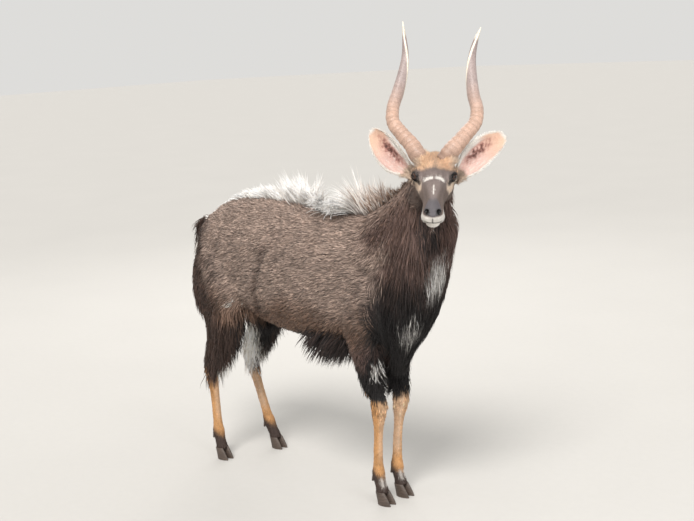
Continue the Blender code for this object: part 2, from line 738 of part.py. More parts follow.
# Roots round the thigh and gaskin: place inside the leg, way out, length
THIGH_ROOTS = (
    ((-0.400, 0.080, 0.850), (-1.0, 0.35), 0.130),
    ((-0.400, 0.095, 0.770), (-1.0, 0.7), 0.130),
    ((-0.400, 0.060, 0.745), (-1.0, -0.1), 0.130),
    ((-0.400, 0.100, 0.670), (-1.0, 0.55), 0.130),
    ((-0.400, 0.075, 0.655), (-1.0, -0.15), 0.130),
    ((-0.390, 0.110, 0.565), (-1.0, 0.6), 0.130),
    ((-0.400, 0.100, 0.555), (-1.0, -0.3), 0.130),
    ((-0.410, 0.105, 0.480), (-1.0, 0.2), 0.140),
)
# Locks that hang in front of the gaskin, seen from the side: place, way out, length
STIFLE_ROOTS = (
    ((-0.345, 0.112, 0.572), (1.0, 0.25), 0.185),
    ((-0.350, 0.112, 0.555), (1.0, 0.9), 0.190),
    ((-0.375, 0.108, 0.515), (1.0, 0.1), 0.170),
    ((-0.400, 0.104, 0.475), (1.0, 0.8), 0.150),
)
FORELEG_FRINGE = ((0.515, 0.095), (0.460, 0.080))
TAIL_COUNT = 7
TAIL_SPAN = (0.890, 0.650)
CUT_MARGIN = 0.020
LOCK_SEED = 7
LOCK_ROOT = 0.016
LOCK_CLEAR = 0.0022
# Share of the way along a lock, share of its width, share of its thickness
LOCK_TAPER = ((0.0, 0.75, 1.0), (0.20, 1.0, 1.0), (0.52, 0.86, 0.85), (0.80, 0.50, 0.50))


class Lie:
    """The surface that the locks grow from and lie along."""

    def __init__(self, whole):
        shape = bmesh.new()
        shape.from_mesh(whole.data)
        self.tree = BVHTree.FromBMesh(shape)
        shape.free()

    def hit(self, start, way):
        """The first place where a ray from outside meets the surface, and the way out of it."""
        place, normal, _, _ = self.tree.ray_cast(Vector(start), Vector(way).normalized())
        return place, normal

    def depth(self, place, normal):
        """How thick the body is under a place on its surface."""
        _, _, _, deep = self.tree.ray_cast(place - normal * 0.0005, -normal)
        return deep or 0.0

    def height(self, place):
        """How far a place is outside the surface, and the way out from it."""
        near, normal, _, _ = self.tree.find_nearest(place)
        away = place - near
        above = away.length if away.dot(normal) >= 0 else -away.length
        if above > 0.004:
            normal = away.normalized()
        return above, normal


def lock_mesh(name, lie, lock):
    """One flat, tapered lock, rooted in the surface and leaning off it as it goes its way."""
    place, normal, face, way, length, width, thick, lift = lock
    way = Vector(way).normalized()
    side = Vector(face).cross(way).normalized()
    flat = way.cross(side)
    root = min(LOCK_ROOT, 0.4 * lie.depth(place, normal))
    rings = []
    for share, wide, deep in (*LOCK_TAPER, (1.0, 0.0, 0.0)):
        centre = place + way * (length * (share - 0.12)) + normal * (lift * share**0.8)
        above, out = lie.height(centre)
        if share == 0:
            centre = centre - out * (above + root)
        else:
            least = thick * deep / 2 + LOCK_CLEAR
            if above < least:
                centre = centre + out * (least - above)
        half, depth = width * wide / 2, thick * deep / 2
        ring = []
        for across, outward in ((1, 0), (0, 1), (-1, 0), (0, -1)):
            corner = centre + side * (across * half) + flat * (outward * depth)
            if share > LOCK_TAPER[1][0]:
                above, out = lie.height(corner)
                if above < LOCK_CLEAR / 2:
                    corner = corner + out * (LOCK_CLEAR / 2 - above)
            ring.append(corner)
        rings.append(ring)
    points = [corner for ring in rings[:-1] for corner in ring]
    points.append(sum(rings[-1], Vector()) / 4)
    tip = len(points) - 1
    faces = [(3, 2, 1, 0)]
    for ring in range(len(rings) - 2):
        for k in range(4):
            low, after = ring * 4, (k + 1) % 4
            faces.append((low + k, low + after, low + 4 + after, low + 4 + k))
    last = (len(rings) - 2) * 4
    faces += [(last + k, last + (k + 1) % 4, tip) for k in range(4)]
    made = new_object(name, points, faces)
    point_outwards(made)
    return made


def mane_locks(lie, jitter):
    """Rows of locks down the throat, the sides of the neck and the chest, lapped like shingles."""
    locks = []
    for level, (height, x, y, spread, count, length) in enumerate(MANE_ROWS):
        for k in range(count):
            turn = math.radians(spread) * (2 * (k + 0.5 * (level % 2)) / (count - 0.5) - 1)
            out = Vector((math.cos(turn), math.sin(turn), 0.0))
            centre = Vector((x, y, height + jitter.uniform(-0.010, 0.010)))
            place, normal = lie.hit(centre + out * 0.5, -out)
            if place is None:
                continue
            flow = Vector((0.02, -0.04 * out.y, -1.0))
            flow = (flow - normal * flow.dot(normal)).normalized() * 0.75 + flow * 0.25
            front = max(0.0, math.cos(turn))
            size = length * (0.72 + 0.28 * front) * jitter.uniform(0.90, 1.10)
            slope = MANE_SLOPE[0] + (MANE_SLOPE[1] - MANE_SLOPE[0]) * front + 0.05 * (k % 2)
            locks.append((place, normal, normal, flow, size, MANE_WIDTH, 0.014, slope * size))
    return locks


def crest_locks(lie, jitter):
    """Locks on edge along the middle of the back, from the rump to the nape, leaning back."""
    locks = []
    for k in range(CREST_COUNT):
        share = k / (CREST_COUNT - 1)
        x = CREST_SPAN[0] + (CREST_SPAN[1] - CREST_SPAN[0]) * share
        side = 1 if k % 2 else -1
        place, normal = lie.hit((x, 0.006 * side + 0.016 * max(0.0, share - 0.8) / 0.2, 1.6), (0, 0, -1))
        length = float(np.interp(share, *zip(*CREST_LENGTHS))) * jitter.uniform(0.9, 1.1)
        stand = float(np.interp(share, *zip(*CREST_STAND)))
        lean = -0.60 if 0.54 < share < 0.76 else 0.20 * side
        flow = Vector((-1.0, lean * (0.4 + stand), 0.0))
        flow = flow - normal * flow.dot(normal) + normal * stand
        locks.append((place, normal, Vector((0.0, side, 0.25)), flow, length, CREST_WIDTH, 0.012, 0.006))
    return locks


def belly_locks(lie, jitter):
    """The dark fringe that hangs under the belly, in two files."""
    locks = []
    for k in range(BELLY_COUNT):
        share = k / (BELLY_COUNT - 1)
        x = BELLY_SPAN[0] + (BELLY_SPAN[1] - BELLY_SPAN[0]) * share
        side = 1 if k % 2 else -1
        place, normal = lie.hit((x, 0.030 * side, 0.2), (0, 0, 1))
        length = float(np.interp(share, *zip(*BELLY_LENGTHS))) * jitter.uniform(0.92, 1.08)
        flow = Vector((-0.25, 0.02 * side, -1.0))
        locks.append((place, normal, Vector((0, side, 0)), flow, length, 0.058, 0.014, 0.0))
    return locks


def thigh_locks(lie, jitter, side):
    """Locks down the back of a thigh and round the gaskin, to just above the hock."""
    locks = []
    for roots, edge_on in ((THIGH_ROOTS, False), (STIFLE_ROOTS, True)):
        for place, out, length in roots:
            centre = Vector((place[0], place[1] * side, place[2]))
            out = Vector((out[0], out[1] * side, 0.0)).normalized()
            root, normal = lie.hit(centre + out * 0.3, -out)
            if root is None:
                continue
            flow = Vector((-0.04, 0.0, -1.0))
            flow = flow - normal * flow.dot(normal) * 0.6
            face = Vector((0.0, side, 0.0)) if edge_on else normal
            size = length * jitter.uniform(0.93, 1.07)
            locks.append((root, normal, face, flow, size, 0.052, 0.013, 0.12 * size))
    return locks


def foreleg_locks(lie, jitter, side):
    """The shaggy back edge of the upper foreleg."""
    locks = []
    for height, length in FORELEG_FRINGE:
        centre = Vector((0.41, 0.085 * side, height))
        out = Vector((-1.0, 0.25 * side, 0.0)).normalized()
        root, normal = lie.hit(centre + out * 0.2, -out)
        flow = Vector((-0.12, 0.0, -1.0))
        size = length * jitter.uniform(0.9, 1.1)
        locks.append((root, normal, Vector((0, side, 0)), flow, size, 0.036, 0.011, 0.010))
    return locks


def tail_locks(lie, jitter):
    """The bushy hair down both edges and the back of the tail."""
    locks = []
    for k in range(TAIL_COUNT):
        height = TAIL_SPAN[0] + (TAIL_SPAN[1] - TAIL_SPAN[0]) * k / (TAIL_COUNT - 1)
        turn = (1.1, -1.1, 0.0)[k % 3]
        out = Vector((-math.cos(turn), math.sin(turn), 0.0))
        root, normal = lie.hit(Vector((-0.59, 0.0, height)) + out * 0.2, -out)
        flow = Vector((-0.03, 0.06 * math.sin(turn), -1.0))
        size = 0.130 * jitter.uniform(0.92, 1.08)
        locks.append((root, normal, normal, flow, size, 0.042, 0.011, 0.016))
    return locks


def add_locks(node, lie, locks):
    """Fuses locks into a node with one union, and keeps its largest surface."""
    group = bpy.data.collections.new(node.name + "_locks")
    bpy.context.scene.collection.children.link(group)
    for k, lock in enumerate(locks):
        made = lock_mesh(f"{node.name}_lock_{k}", lie, lock)
        bpy.context.scene.collection.objects.unlink(made)
        group.objects.link(made)
    fuse = node.modifiers.new("locks", "BOOLEAN")
    fuse.operation = "UNION"
    fuse.operand_type = "COLLECTION"
    fuse.collection = group
    fuse.solver = "MANIFOLD"
    apply_all(node)
    for made in list(group.objects):
        bpy.data.objects.remove(made)
    bpy.data.collections.remove(group)
    largest_shell(node)


def on_neck(place):
    """How far a place is ahead of the cut between neck and trunk."""
    return (Vector(place) - Vector(NECK_CUT_POINT)).dot(Vector(NECK_CUT_NORMAL).normalized())


def dress(nodes, whole):
    """Grows the long hair on the nodes that carry it, and keeps the nodes apart."""
    jitter = random.Random(LOCK_SEED)
    lie = Lie(whole)
    grown = {name: [] for name in nodes}
    for lock in mane_locks(lie, jitter) + crest_locks(lie, jitter):
        ahead = on_neck(lock[0])
        if abs(ahead) > CUT_MARGIN:
            grown["neck" if ahead > 0 else "torso"].append(lock)
    grown["torso"] += belly_locks(lie, jitter)
    for side, word in ((1, "left"), (-1, "right")):
        for lock in thigh_locks(lie, jitter, side):
            cut = HIND_CUT_FRONT[2] + (lock[0].x - HIND_CUT_FRONT[0]) * math.tan(HIND_CUT_SLOPE)
            if abs(lock[0].z - cut) > CUT_MARGIN * 0.7:
                grown["torso" if lock[0].z > cut else f"hindleg_{word}"].append(lock)
        grown[f"foreleg_{word}"] += foreleg_locks(lie, jitter, side)
    grown["tail"] = tail_locks(Lie(nodes["tail"]), jitter)
    for name, locks in grown.items():
        if locks:
            surface = Lie(nodes["tail"]) if name == "tail" else lie
            add_locks(nodes[name], surface, locks)
    keep_apart(nodes)


def keep_apart(nodes):
    """Cuts each node that carries locks clear of the ones before it, by the seat gap."""
    pairs = (
        ("neck", ("head", "ear_left", "ear_right", "horn_left", "horn_right")),
        ("torso", ("neck", "foreleg_left", "foreleg_right", "hindleg_left", "hindleg_right")),
        ("foreleg_left", ("neck",)),
        ("foreleg_right", ("neck", "foreleg_left")),
        ("hindleg_right", ("hindleg_left",)),
        ("tail", ("torso", "hindleg_left", "hindleg_right")),
    )
    for name, others in pairs:
        for other in others:
            boolean(nodes[name], swollen(nodes[other], SEAT_GAP), "DIFFERENCE")
        largest_shell(nodes[name])


# Colour, roughness and what each material is for
FINISHES = {
    "grey_brown_coat": (0.115, 0.082, 0.066, 0.85),
    "dark_mane": (0.045, 0.032, 0.027, 0.80),
    "face_coat": (0.215, 0.120, 0.070, 0.80),
    "tan_leg_coat": (0.420, 0.215, 0.095, 0.80),
    "ear_skin": (0.560, 0.330, 0.260, 0.75),
    "horn": (0.330, 0.235, 0.175, 0.45),
    "hoof": (0.070, 0.056, 0.050, 0.50),
    "eye": (0.012, 0.008, 0.006, 0.08),
}
FINISH_OF = {
    "torso": "grey_brown_coat",
    "tail": "grey_brown_coat",
    "neck": "dark_mane",
    "head": "face_coat",
    "foreleg": "tan_leg_coat",
    "hindleg": "tan_leg_coat",
    "ear": "ear_skin",
    "horn": "horn",
    "hoof": "hoof",
    "dewclaw": "hoof",
    "eye": "eye",
}


def finish_material(name):
    """The material of a name, made once."""
    if name in bpy.data.materials:
        return bpy.data.materials[name]
    made = bpy.data.materials.new(name)
    made.use_nodes = True
    *colour, roughness = FINISHES[name]
    shader = made.node_tree.nodes["Principled BSDF"]
    shader.inputs["Base Color"].default_value = (*colour, 1.0)
    shader.inputs["Roughness"].default_value = roughness
    shader.inputs["Metallic"].default_value = 0.0
    made.diffuse_color = (*colour, 1.0)
    return made


def finish_all(nodes):
    """Gives each node its material and files it under the animal's collection."""
    animal = bpy.data.collections.new("nyala")
    bpy.context.scene.collection.children.link(animal)
    for node in nodes:
        node.data.materials.clear()
        node.data.materials.append(finish_material(FINISH_OF[node.name.split("_")[0]]))
        for face in node.data.polygons:
            face.material_index = 0
        for place in list(node.users_collection):
            place.objects.unlink(node)
        animal.objects.link(node)


def set_origin(nodes):
    """Moves the whole animal so that the middle of its box stands over the origin."""
    points = np.array([v.co for node in nodes for v in node.data.vertices])
    low, high = points.min(axis=0), points.max(axis=0)
    shift = Matrix.Translation((-(low[0] + high[0]) / 2, -(low[1] + high[1]) / 2, -low[2]))
    for node in nodes:
        node.data.transform(shift)
    return shift


def main():
    for old in list(bpy.data.objects):
        bpy.data.objects.remove(old)
    nodes, whole = split_body()
    nodes["head"] = head_node()
    for side, word in ((1, "left"), (-1, "right")):
        nodes[f"eye_{word}"] = eye_node(side, word)
        nodes[f"horn_{word}"] = seat(horn_node(side, word), nodes["head"])
        nodes[f"ear_{word}"] = seat(ear_node(side, word), nodes["head"], nodes["neck"])
        for leg, rows in (("fore", FORELEG), ("hind", HINDLEG)):
            step = 0.0 if leg == "fore" else (LEFT_HIND_STEP if side == 1 else RIGHT_HIND_STEP)
            foot, fetlock = leg_rows((rows[-1], rows[-4]), side, step)
            for claw, claw_side in (("outer", side), ("inner", -side)):
                name = f"hoof_{leg}_{word}_{claw}"
                nodes[name] = claw_node(name, foot, claw_side)
                name = f"dewclaw_{leg}_{word}_{claw}"
                nodes[name] = seat(dewclaw_node(name, fetlock, claw_side), nodes[f"{leg}leg_{word}"])
    nodes["tail"] = seat(tail_node(), nodes["torso"])
    dress(nodes, whole)
    bpy.data.objects.remove(whole)
    shift = set_origin(list(nodes.values()))
    finish_all(list(nodes.values()))
    total = 0
    for node in nodes.values():
        node.data.calc_loop_triangles()
        total += len(node.data.loop_triangles)
        print(node.name, len(node.data.loop_triangles))
    print("triangles", total, "shift", [round(v, 4) for v in shift.translation])


main()
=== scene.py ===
"""A male nyala, life size: one skin, a coat of tufts and locks, eyes, horns and hooves, and a stage."""

import json
import math
from types import SimpleNamespace

import bmesh
import bpy
import numpy as np
from mathutils import Matrix, Vector
from mathutils.bvhtree import BVHTree

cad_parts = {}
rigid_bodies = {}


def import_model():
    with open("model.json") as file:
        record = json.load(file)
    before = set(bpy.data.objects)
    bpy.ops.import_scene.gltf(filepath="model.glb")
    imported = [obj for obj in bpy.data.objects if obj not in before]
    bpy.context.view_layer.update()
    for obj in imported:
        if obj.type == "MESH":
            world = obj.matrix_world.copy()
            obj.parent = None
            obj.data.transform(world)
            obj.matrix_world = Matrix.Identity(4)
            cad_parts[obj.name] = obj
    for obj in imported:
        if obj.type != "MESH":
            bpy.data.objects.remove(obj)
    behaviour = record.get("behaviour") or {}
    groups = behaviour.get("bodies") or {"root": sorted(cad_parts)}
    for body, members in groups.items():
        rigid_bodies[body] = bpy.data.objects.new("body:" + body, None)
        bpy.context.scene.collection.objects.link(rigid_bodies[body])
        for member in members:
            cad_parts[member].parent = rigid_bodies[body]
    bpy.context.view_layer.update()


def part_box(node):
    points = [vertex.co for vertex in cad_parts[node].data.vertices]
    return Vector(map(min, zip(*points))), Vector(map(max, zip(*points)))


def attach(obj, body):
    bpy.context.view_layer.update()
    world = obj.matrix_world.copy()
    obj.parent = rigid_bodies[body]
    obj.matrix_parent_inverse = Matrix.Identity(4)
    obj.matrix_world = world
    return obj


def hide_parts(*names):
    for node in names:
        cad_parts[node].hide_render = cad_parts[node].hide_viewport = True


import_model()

bl_info = {
    "name": "Nyala",
    "version": (1, 0, 0),
    "blender": (4, 5, 0),
    "location": "View3D > Sidebar > Nyala",
    "description": "A standing nyala with a shaggy coat, ringed horns and a plain stage",
    "category": "Object",
}

# The trunk: place along X, height of the back, height of the underside, half width
TRUNK = (
    (-0.550, 0.945, 0.830, 0.040), (-0.522, 0.995, 0.775, 0.078), (-0.455, 1.040, 0.700, 0.118),
    (-0.365, 1.070, 0.645, 0.142), (-0.250, 1.084, 0.606, 0.152), (-0.120, 1.084, 0.580, 0.158),
    (0.020, 1.072, 0.562, 0.166), (0.150, 1.058, 0.555, 0.168), (0.260, 1.054, 0.558, 0.158),
    (0.350, 1.058, 0.570, 0.142), (0.440, 1.035, 0.600, 0.126), (0.520, 0.972, 0.665, 0.098),
    (0.570, 0.900, 0.740, 0.058),
)
# Each row below: centre X, Y, Z, half width, reach to the front or back side, reach to the other side
NECK = (
    (0.360, 0.000, 0.860, 0.112, 0.165, 0.190), (0.460, 0.002, 0.945, 0.100, 0.140, 0.155),
    (0.545, 0.010, 1.030, 0.085, 0.110, 0.118), (0.606, 0.018, 1.110, 0.071, 0.084, 0.088),
    (0.646, 0.022, 1.175, 0.062, 0.068, 0.072), (0.668, 0.018, 1.228, 0.050, 0.048, 0.052),
)
FORELEG = (
    (0.400, 0.080, 0.860, 0.050, 0.085, 0.110), (0.418, 0.094, 0.760, 0.056, 0.098, 0.108),
    (0.415, 0.096, 0.670, 0.053, 0.082, 0.096), (0.408, 0.090, 0.600, 0.047, 0.060, 0.074),
    (0.409, 0.080, 0.530, 0.040, 0.048, 0.052), (0.418, 0.070, 0.460, 0.034, 0.038, 0.038),
    (0.428, 0.062, 0.412, 0.030, 0.032, 0.030), (0.432, 0.058, 0.375, 0.033, 0.035, 0.030),
    (0.428, 0.056, 0.336, 0.0270, 0.0280, 0.0270), (0.422, 0.054, 0.290, 0.0190, 0.0205, 0.0210),
    (0.413, 0.052, 0.205, 0.0175, 0.0190, 0.0200), (0.409, 0.051, 0.142, 0.0190, 0.0205, 0.0220),
    (0.408, 0.050, 0.108, 0.0240, 0.0245, 0.0275), (0.413, 0.050, 0.080, 0.0220, 0.0225, 0.0235),
    (0.419, 0.050, 0.058, 0.0235, 0.0235, 0.0225), (0.423, 0.050, 0.030, 0.0270, 0.0270, 0.0260),
)
HINDLEG = (
    (-0.365, 0.070, 0.900, 0.062, 0.130, 0.118), (-0.368, 0.094, 0.800, 0.075, 0.148, 0.142),
    (-0.358, 0.108, 0.700, 0.071, 0.132, 0.142), (-0.350, 0.112, 0.610, 0.058, 0.104, 0.110),
    (-0.376, 0.108, 0.530, 0.045, 0.075, 0.074), (-0.416, 0.104, 0.460, 0.034, 0.052, 0.050),
    (-0.446, 0.102, 0.410, 0.028, 0.036, 0.038), (-0.458, 0.102, 0.372, 0.027, 0.031, 0.036),
    (-0.454, 0.102, 0.330, 0.0240, 0.0270, 0.0285), (-0.447, 0.102, 0.280, 0.0195, 0.0225, 0.0235),
    (-0.438, 0.104, 0.200, 0.0185, 0.0205, 0.0215), (-0.432, 0.106, 0.140, 0.0200, 0.0215, 0.0225),
    (-0.428, 0.107, 0.108, 0.0245, 0.0255, 0.0275), (-0.421, 0.108, 0.080, 0.0220, 0.0225, 0.0235),
    (-0.414, 0.109, 0.058, 0.0235, 0.0235, 0.0225), (-0.409, 0.110, 0.030, 0.0270, 0.0270, 0.0260),
)
TAIL = (
    (-0.515, 0.000, 0.972, 0.022, 0.020, 0.020), (-0.556, 0.000, 0.962, 0.026, 0.018, 0.020),
    (-0.584, 0.000, 0.915, 0.028, 0.016, 0.017), (-0.594, 0.000, 0.820, 0.026, 0.013, 0.014),
    (-0.596, 0.000, 0.720, 0.020, 0.010, 0.011), (-0.594, 0.000, 0.640, 0.012, 0.007, 0.008),
    (-0.592, 0.000, 0.610, 0.005, 0.003, 0.003),
)
# The dense underhair of the mane
MANE_CORE = (
    (0.640, 0.018, 1.120, 0.070, 0.040, 0.060), (0.640, 0.020, 1.040, 0.092, 0.046, 0.090),
    (0.620, 0.020, 0.950, 0.106, 0.050, 0.100), (0.595, 0.015, 0.860, 0.110, 0.056, 0.110),
    (0.570, 0.010, 0.770, 0.098, 0.056, 0.120), (0.540, 0.000, 0.690, 0.076, 0.046, 0.120),
    (0.515, 0.000, 0.620, 0.045, 0.030, 0.090), (0.500, 0.000, 0.585, 0.020, 0.016, 0.050),
)
# How far each hind foot stands ahead of its row, left and right, and where that begins
HIND_STEPS = {1: 0.078, -1: -0.008}
STEP_TOP = 0.410
CORONET_HEIGHT = 0.046
NECK_UP = (-0.6, 0.0, 0.8)
TAIL_START = -0.545

# The head's own frame: origin at the back of the skull, turned to the right, pitched down, and rolled
SKULL_BACK = Vector((0.6664, 0.0233, 1.233))
HEAD_TURN = math.radians(-53.0)
HEAD_PITCH = math.radians(28.0)
HEAD_ROLL = math.radians(-3.5)
LEVEL_ORIGIN = Vector((0.662, 0.020, 1.233))
HEAD_CUT_PLACE = (-0.020, 0.0, 0.0)
HEAD_CUT_PITCH = math.radians(-15.0)
# Place along the head, height of the line, half width, reach up, reach down
SKULL = (
    (-0.030, 0.0, 0.034, 0.034, 0.045), (0.000, 0.0, 0.050, 0.048, 0.058),
    (0.045, 0.0, 0.060, 0.060, 0.072), (0.085, 0.0, 0.064, 0.063, 0.072),
    (0.115, 0.0, 0.063, 0.060, 0.064), (0.145, 0.0, 0.052, 0.054, 0.055),
    (0.180, 0.0, 0.041, 0.047, 0.044), (0.215, 0.0, 0.035, 0.041, 0.036),
    (0.245, 0.0, 0.034, 0.036, 0.031), (0.270, 0.0, 0.035, 0.030, 0.028),
    (0.290, 0.0, 0.033, 0.022, 0.025), (0.304, 0.0, 0.022, 0.011, 0.016),
)
JAW = (
    (0.030, -0.048, 0.034, 0.030, 0.040), (0.070, -0.056, 0.038, 0.030, 0.040),
    (0.115, -0.053, 0.034, 0.028, 0.034), (0.165, -0.046, 0.028, 0.022, 0.025),
    (0.215, -0.041, 0.024, 0.016, 0.018), (0.255, -0.038, 0.025, 0.012, 0.015),
    (0.280, -0.036, 0.020, 0.009, 0.012), (0.290, -0.035, 0.012, 0.006, 0.007),
)
EYE_PLACE = (0.114, 0.0535, 0.030)
EYE_RADIUS = 0.0185
LID_THICKNESS = 0.0035
SLIT_HALF = 0.0155
SLIT_RISE = 0.0112
SLIT_DROP = 0.0098
SLIT_SHIFT = -0.0018
LID_ARCH = 1.35
SOCKET_GAP = 0.0002
# Half sizes of the zones of the eye, along the slit and up
EYE_ZONES = {"pupil": (0.0075, 0.0042), "iris": (0.0125, 0.0105)}
HEAD_FORMS = {
    "brow": ((0.100, 0.051, 0.034), (0.042, 0.026, 0.017)),
    "cheek": ((0.062, 0.036, -0.036), (0.062, 0.026, 0.050)),
    "cheekbone": ((0.150, 0.036, 0.002), (0.055, 0.014, 0.012)),
    "horn_boss": ((0.040, 0.042, 0.046), (0.036, 0.030, 0.022)),
    "ear_root": ((0.036, 0.052, -0.030), (0.030, 0.019, 0.026)),
    "upper_lip": ((0.268, 0.021, -0.015), (0.030, 0.018, 0.013)),
    "nose_wing": ((0.284, 0.019, 0.005), (0.018, 0.014, 0.014)),
}
NOSTRIL_PLACE = (0.289, 0.0195, 0.0185)
NOSTRIL_RADII = (0.014, 0.0085, 0.0048)
NOSTRIL_TILT = math.radians(-38.0)
MUZZLE_PAD = ((0.289, 0.0, 0.004), (0.018, 0.022, 0.018))
MOUTH = ((0.170, -0.016), (0.205, -0.017), (0.240, -0.0175), (0.268, -0.0165), (0.292, -0.0140))
MOUTH_WIDTHS = ((0.170, 0.038), (0.230, 0.030), (0.268, 0.032), (0.292, 0.020))
MOUTH_DEPTH = 0.006

# Each horn's line in the level frame of the head: back, out, height above the floor, then radius
HORNS = {
    1: (
        (-0.052, 0.032, 1.250, 0.0250), (-0.050, 0.055, 1.276, 0.0285), (-0.030, 0.086, 1.306, 0.0272),
        (-0.008, 0.110, 1.331, 0.0258), (0.021, 0.139, 1.362, 0.0240), (0.052, 0.147, 1.399, 0.0228),
        (0.092, 0.137, 1.450, 0.0210), (0.131, 0.131, 1.512, 0.0184), (0.164, 0.133, 1.574, 0.0140),
        (0.187, 0.148, 1.633, 0.0085), (0.197, 0.165, 1.672, 0.0014),
    ),
    -1: (
        (-0.052, 0.028, 1.248, 0.0250), (-0.052, 0.049, 1.275, 0.0285), (-0.030, 0.069, 1.304, 0.0272),
        (-0.003, 0.100, 1.336, 0.0256), (0.032, 0.132, 1.377, 0.0236), (0.064, 0.1355, 1.414, 0.0223),
        (0.109, 0.119, 1.474, 0.0202), (0.142, 0.103, 1.533, 0.0172), (0.173, 0.094, 1.592, 0.0126),
        (0.192, 0.096, 1.649, 0.0077), (0.203, 0.100, 1.705, 0.0014),
    ),
}
HORN_KEEL = 0.16
HORN_TWIST = math.radians(300.0)
HORN_RINGS = 220
HORN_SIDES = 40

# Each ear in the level frame of the head: root and tip, both forwards, out and up, then half its width
EARS = {
    1: ((0.010, 0.0655, -0.055), (-0.022, 0.2345, 0.088), 0.046),
    -1: ((0.010, 0.061, -0.036), (-0.022, 0.205, 0.122), 0.047),
}
EAR_WALL = 0.0032
# Degrees that an ear's leaf curls through at its root, and how many of them it loses towards its tip
EAR_CURL = (125.0, 100.0)
EAR_LEAN = 0.012
EAR_WIDTHS = (
    (0.0, 0.34), (0.10, 0.38), (0.20, 0.62), (0.33, 0.90), (0.50, 1.0),
    (0.68, 0.97), (0.83, 0.78), (0.94, 0.48), (1.0, 0.16),
)
SIDES = ((1, "left"), (-1, "right"))
BODY_FACES_KEPT = 0.52
# Depth of the coat: by height on the body, and by place along the head
BODY_COAT_DEPTH = ((0.0, 0.0016), (0.30, 0.0022), (0.42, 0.004), (0.55, 0.008), (2.0, 0.009))
FACE_COAT_DEPTH = ((0.0, 0.005), (0.10, 0.0025), (0.20, 0.0018), (0.255, 0.0004))
FURROW_DEPTH = 0.006
CLAW_APART = 0.0145
# How far a dewclaw lies behind the fetlock and to its side, and its height
DEWCLAW_PLACE = (0.0175, 0.0115, 0.090)
DEWCLAW_TILT = math.radians(205.0)
FLESH = (
    "torso", "neck", "head", "tail", "foreleg_left", "foreleg_right", "hindleg_left", "hindleg_right",
    "ear_left", "ear_right",
)


def shade(red, green, blue):
    """A colour given as the eye sees it, 0 to 255, as linear light."""
    return tuple(c / 3294.6 if c <= 10 else ((c / 255 + 0.055) / 1.055) ** 2.4 for c in (red, green, blue))


def colour_property(name, description, *rgb):
    return bpy.props.FloatVectorProperty(
        name=name, description=description, subtype="COLOR", size=3, min=0.0, max=1.0, default=shade(*rgb)
    )


def length_property(name, description, value):
    return bpy.props.FloatProperty(
        name=name, description=description, default=value, min=0.0, unit="LENGTH", subtype="DISTANCE"
    )


class NyalaSizes(bpy.types.PropertyGroup):
    body_voxel: length_property("Body grain", "Edge of the skin's faces on the body", 0.0055)
    head_voxel: length_property("Head grain", "Edge of the skin's faces on the head", 0.0024)
    flank_hair: length_property("Flank hair", "Length of the body's tufts", 0.030)
    mane_hair: length_property("Mane hair", "Length of the longest locks of the mane", 0.190)
    crest_hair: length_property("Crest hair", "Length of the longest locks of the crest", 0.125)
    fringe_hair: length_property("Fringe hair", "Length of the belly and thigh locks", 0.120)
    face_hair: length_property("Face hair", "Length of the tufts on the forehead", 0.011)
    density: bpy.props.FloatProperty(
        name="Density", description="Share of the full number of tufts", default=1.0, min=0.05, max=1.0
    )


class NyalaColours(bpy.types.PropertyGroup):
    flank: colour_property("Flank", "Grey-brown of the body", 153, 134, 123)
    warm: colour_property("Low flank", "Redder brown low on the body", 116, 90, 74)
    thigh: colour_property("Thigh", "Dark brown of the thighs", 74, 58, 51)
    mane: colour_property("Mane", "Dark brown of the neck", 98, 79, 73)
    dark: colour_property("Chest", "Near black of the chest and fringes", 27, 24, 24)
    silver: colour_property("Crest", "Silver white of the crest", 250, 246, 241)
    white: colour_property("White", "White of the lips, spots and patches", 246, 240, 232)
    tan: colour_property("Tan", "Orange tan of the lower legs", 214, 161, 107)
    forehead: colour_property("Forehead", "Tan between the horns", 246, 205, 170)
    slate: colour_property("Bridge", "Grey-brown of the nose and brow", 134, 120, 115)
    cream: colour_property("Cream", "Cream under the eyes", 244, 220, 198)
    cheek: colour_property("Cheek", "Dark brown of the cheeks", 122, 105, 96)
    nose: colour_property("Nose", "Bare nose pad", 68, 64, 67)
    pink: colour_property("Ear", "Thin skin inside the ears", 236, 198, 186)
    horn: colour_property("Horn", "Ringed base of the horns", 186, 154, 136)
    horn_grey: colour_property("Horn grey", "Upper part of the horns", 158, 142, 138)
    # The tips are ivory; along the keel this colour is a painted highlight
    ivory: colour_property("Horn tip", "Ivory of the tips and the keel", 236, 226, 208)
    hoof: colour_property("Hoof", "Hooves and dewclaws", 76, 64, 56)


def sizes():
    return bpy.context.scene.nyala_sizes


def tones():
    """The colours as arrays of linear light."""
    values = bpy.context.scene.nyala_colours
    names = NyalaColours.__annotations__
    return SimpleNamespace(**{name: np.array(getattr(values, name)) for name in names})


def head_matrix():
    turn = Matrix.Rotation(HEAD_TURN, 4, "Z") @ Matrix.Rotation(HEAD_PITCH, 4, "Y")
    return Matrix.Translation(SKULL_BACK) @ turn @ Matrix.Rotation(HEAD_ROLL, 4, "X")


def mirrored(place, side):
    """A place on the animal's left, or its mirror image on the right."""
    return (place[0], place[1] * side, place[2])


def head_point(place, side=1):
    return head_matrix() @ Vector(mirrored(place, side))


def cut_direction():
    """Which way the head lies from the line where it meets the neck."""
    turn = Matrix.Rotation(HEAD_TURN, 3, "Z") @ Matrix.Rotation(HEAD_CUT_PITCH, 3, "Y")
    return turn @ Vector((1, 0, 0))


def level_matrix():
    return Matrix.Translation((LEVEL_ORIGIN.x, LEVEL_ORIGIN.y, 0.0)) @ Matrix.Rotation(HEAD_TURN, 4, "Z")


def frame_along(point, along, left):
    """A frame at a point whose X runs along one direction and Y near another."""
    x = Vector(along).normalized()
    z = x.cross(Vector(left)).normalized()
    turn = Matrix((x, z.cross(x), z)).transposed().to_4x4()
    return Matrix.Translation(point) @ turn


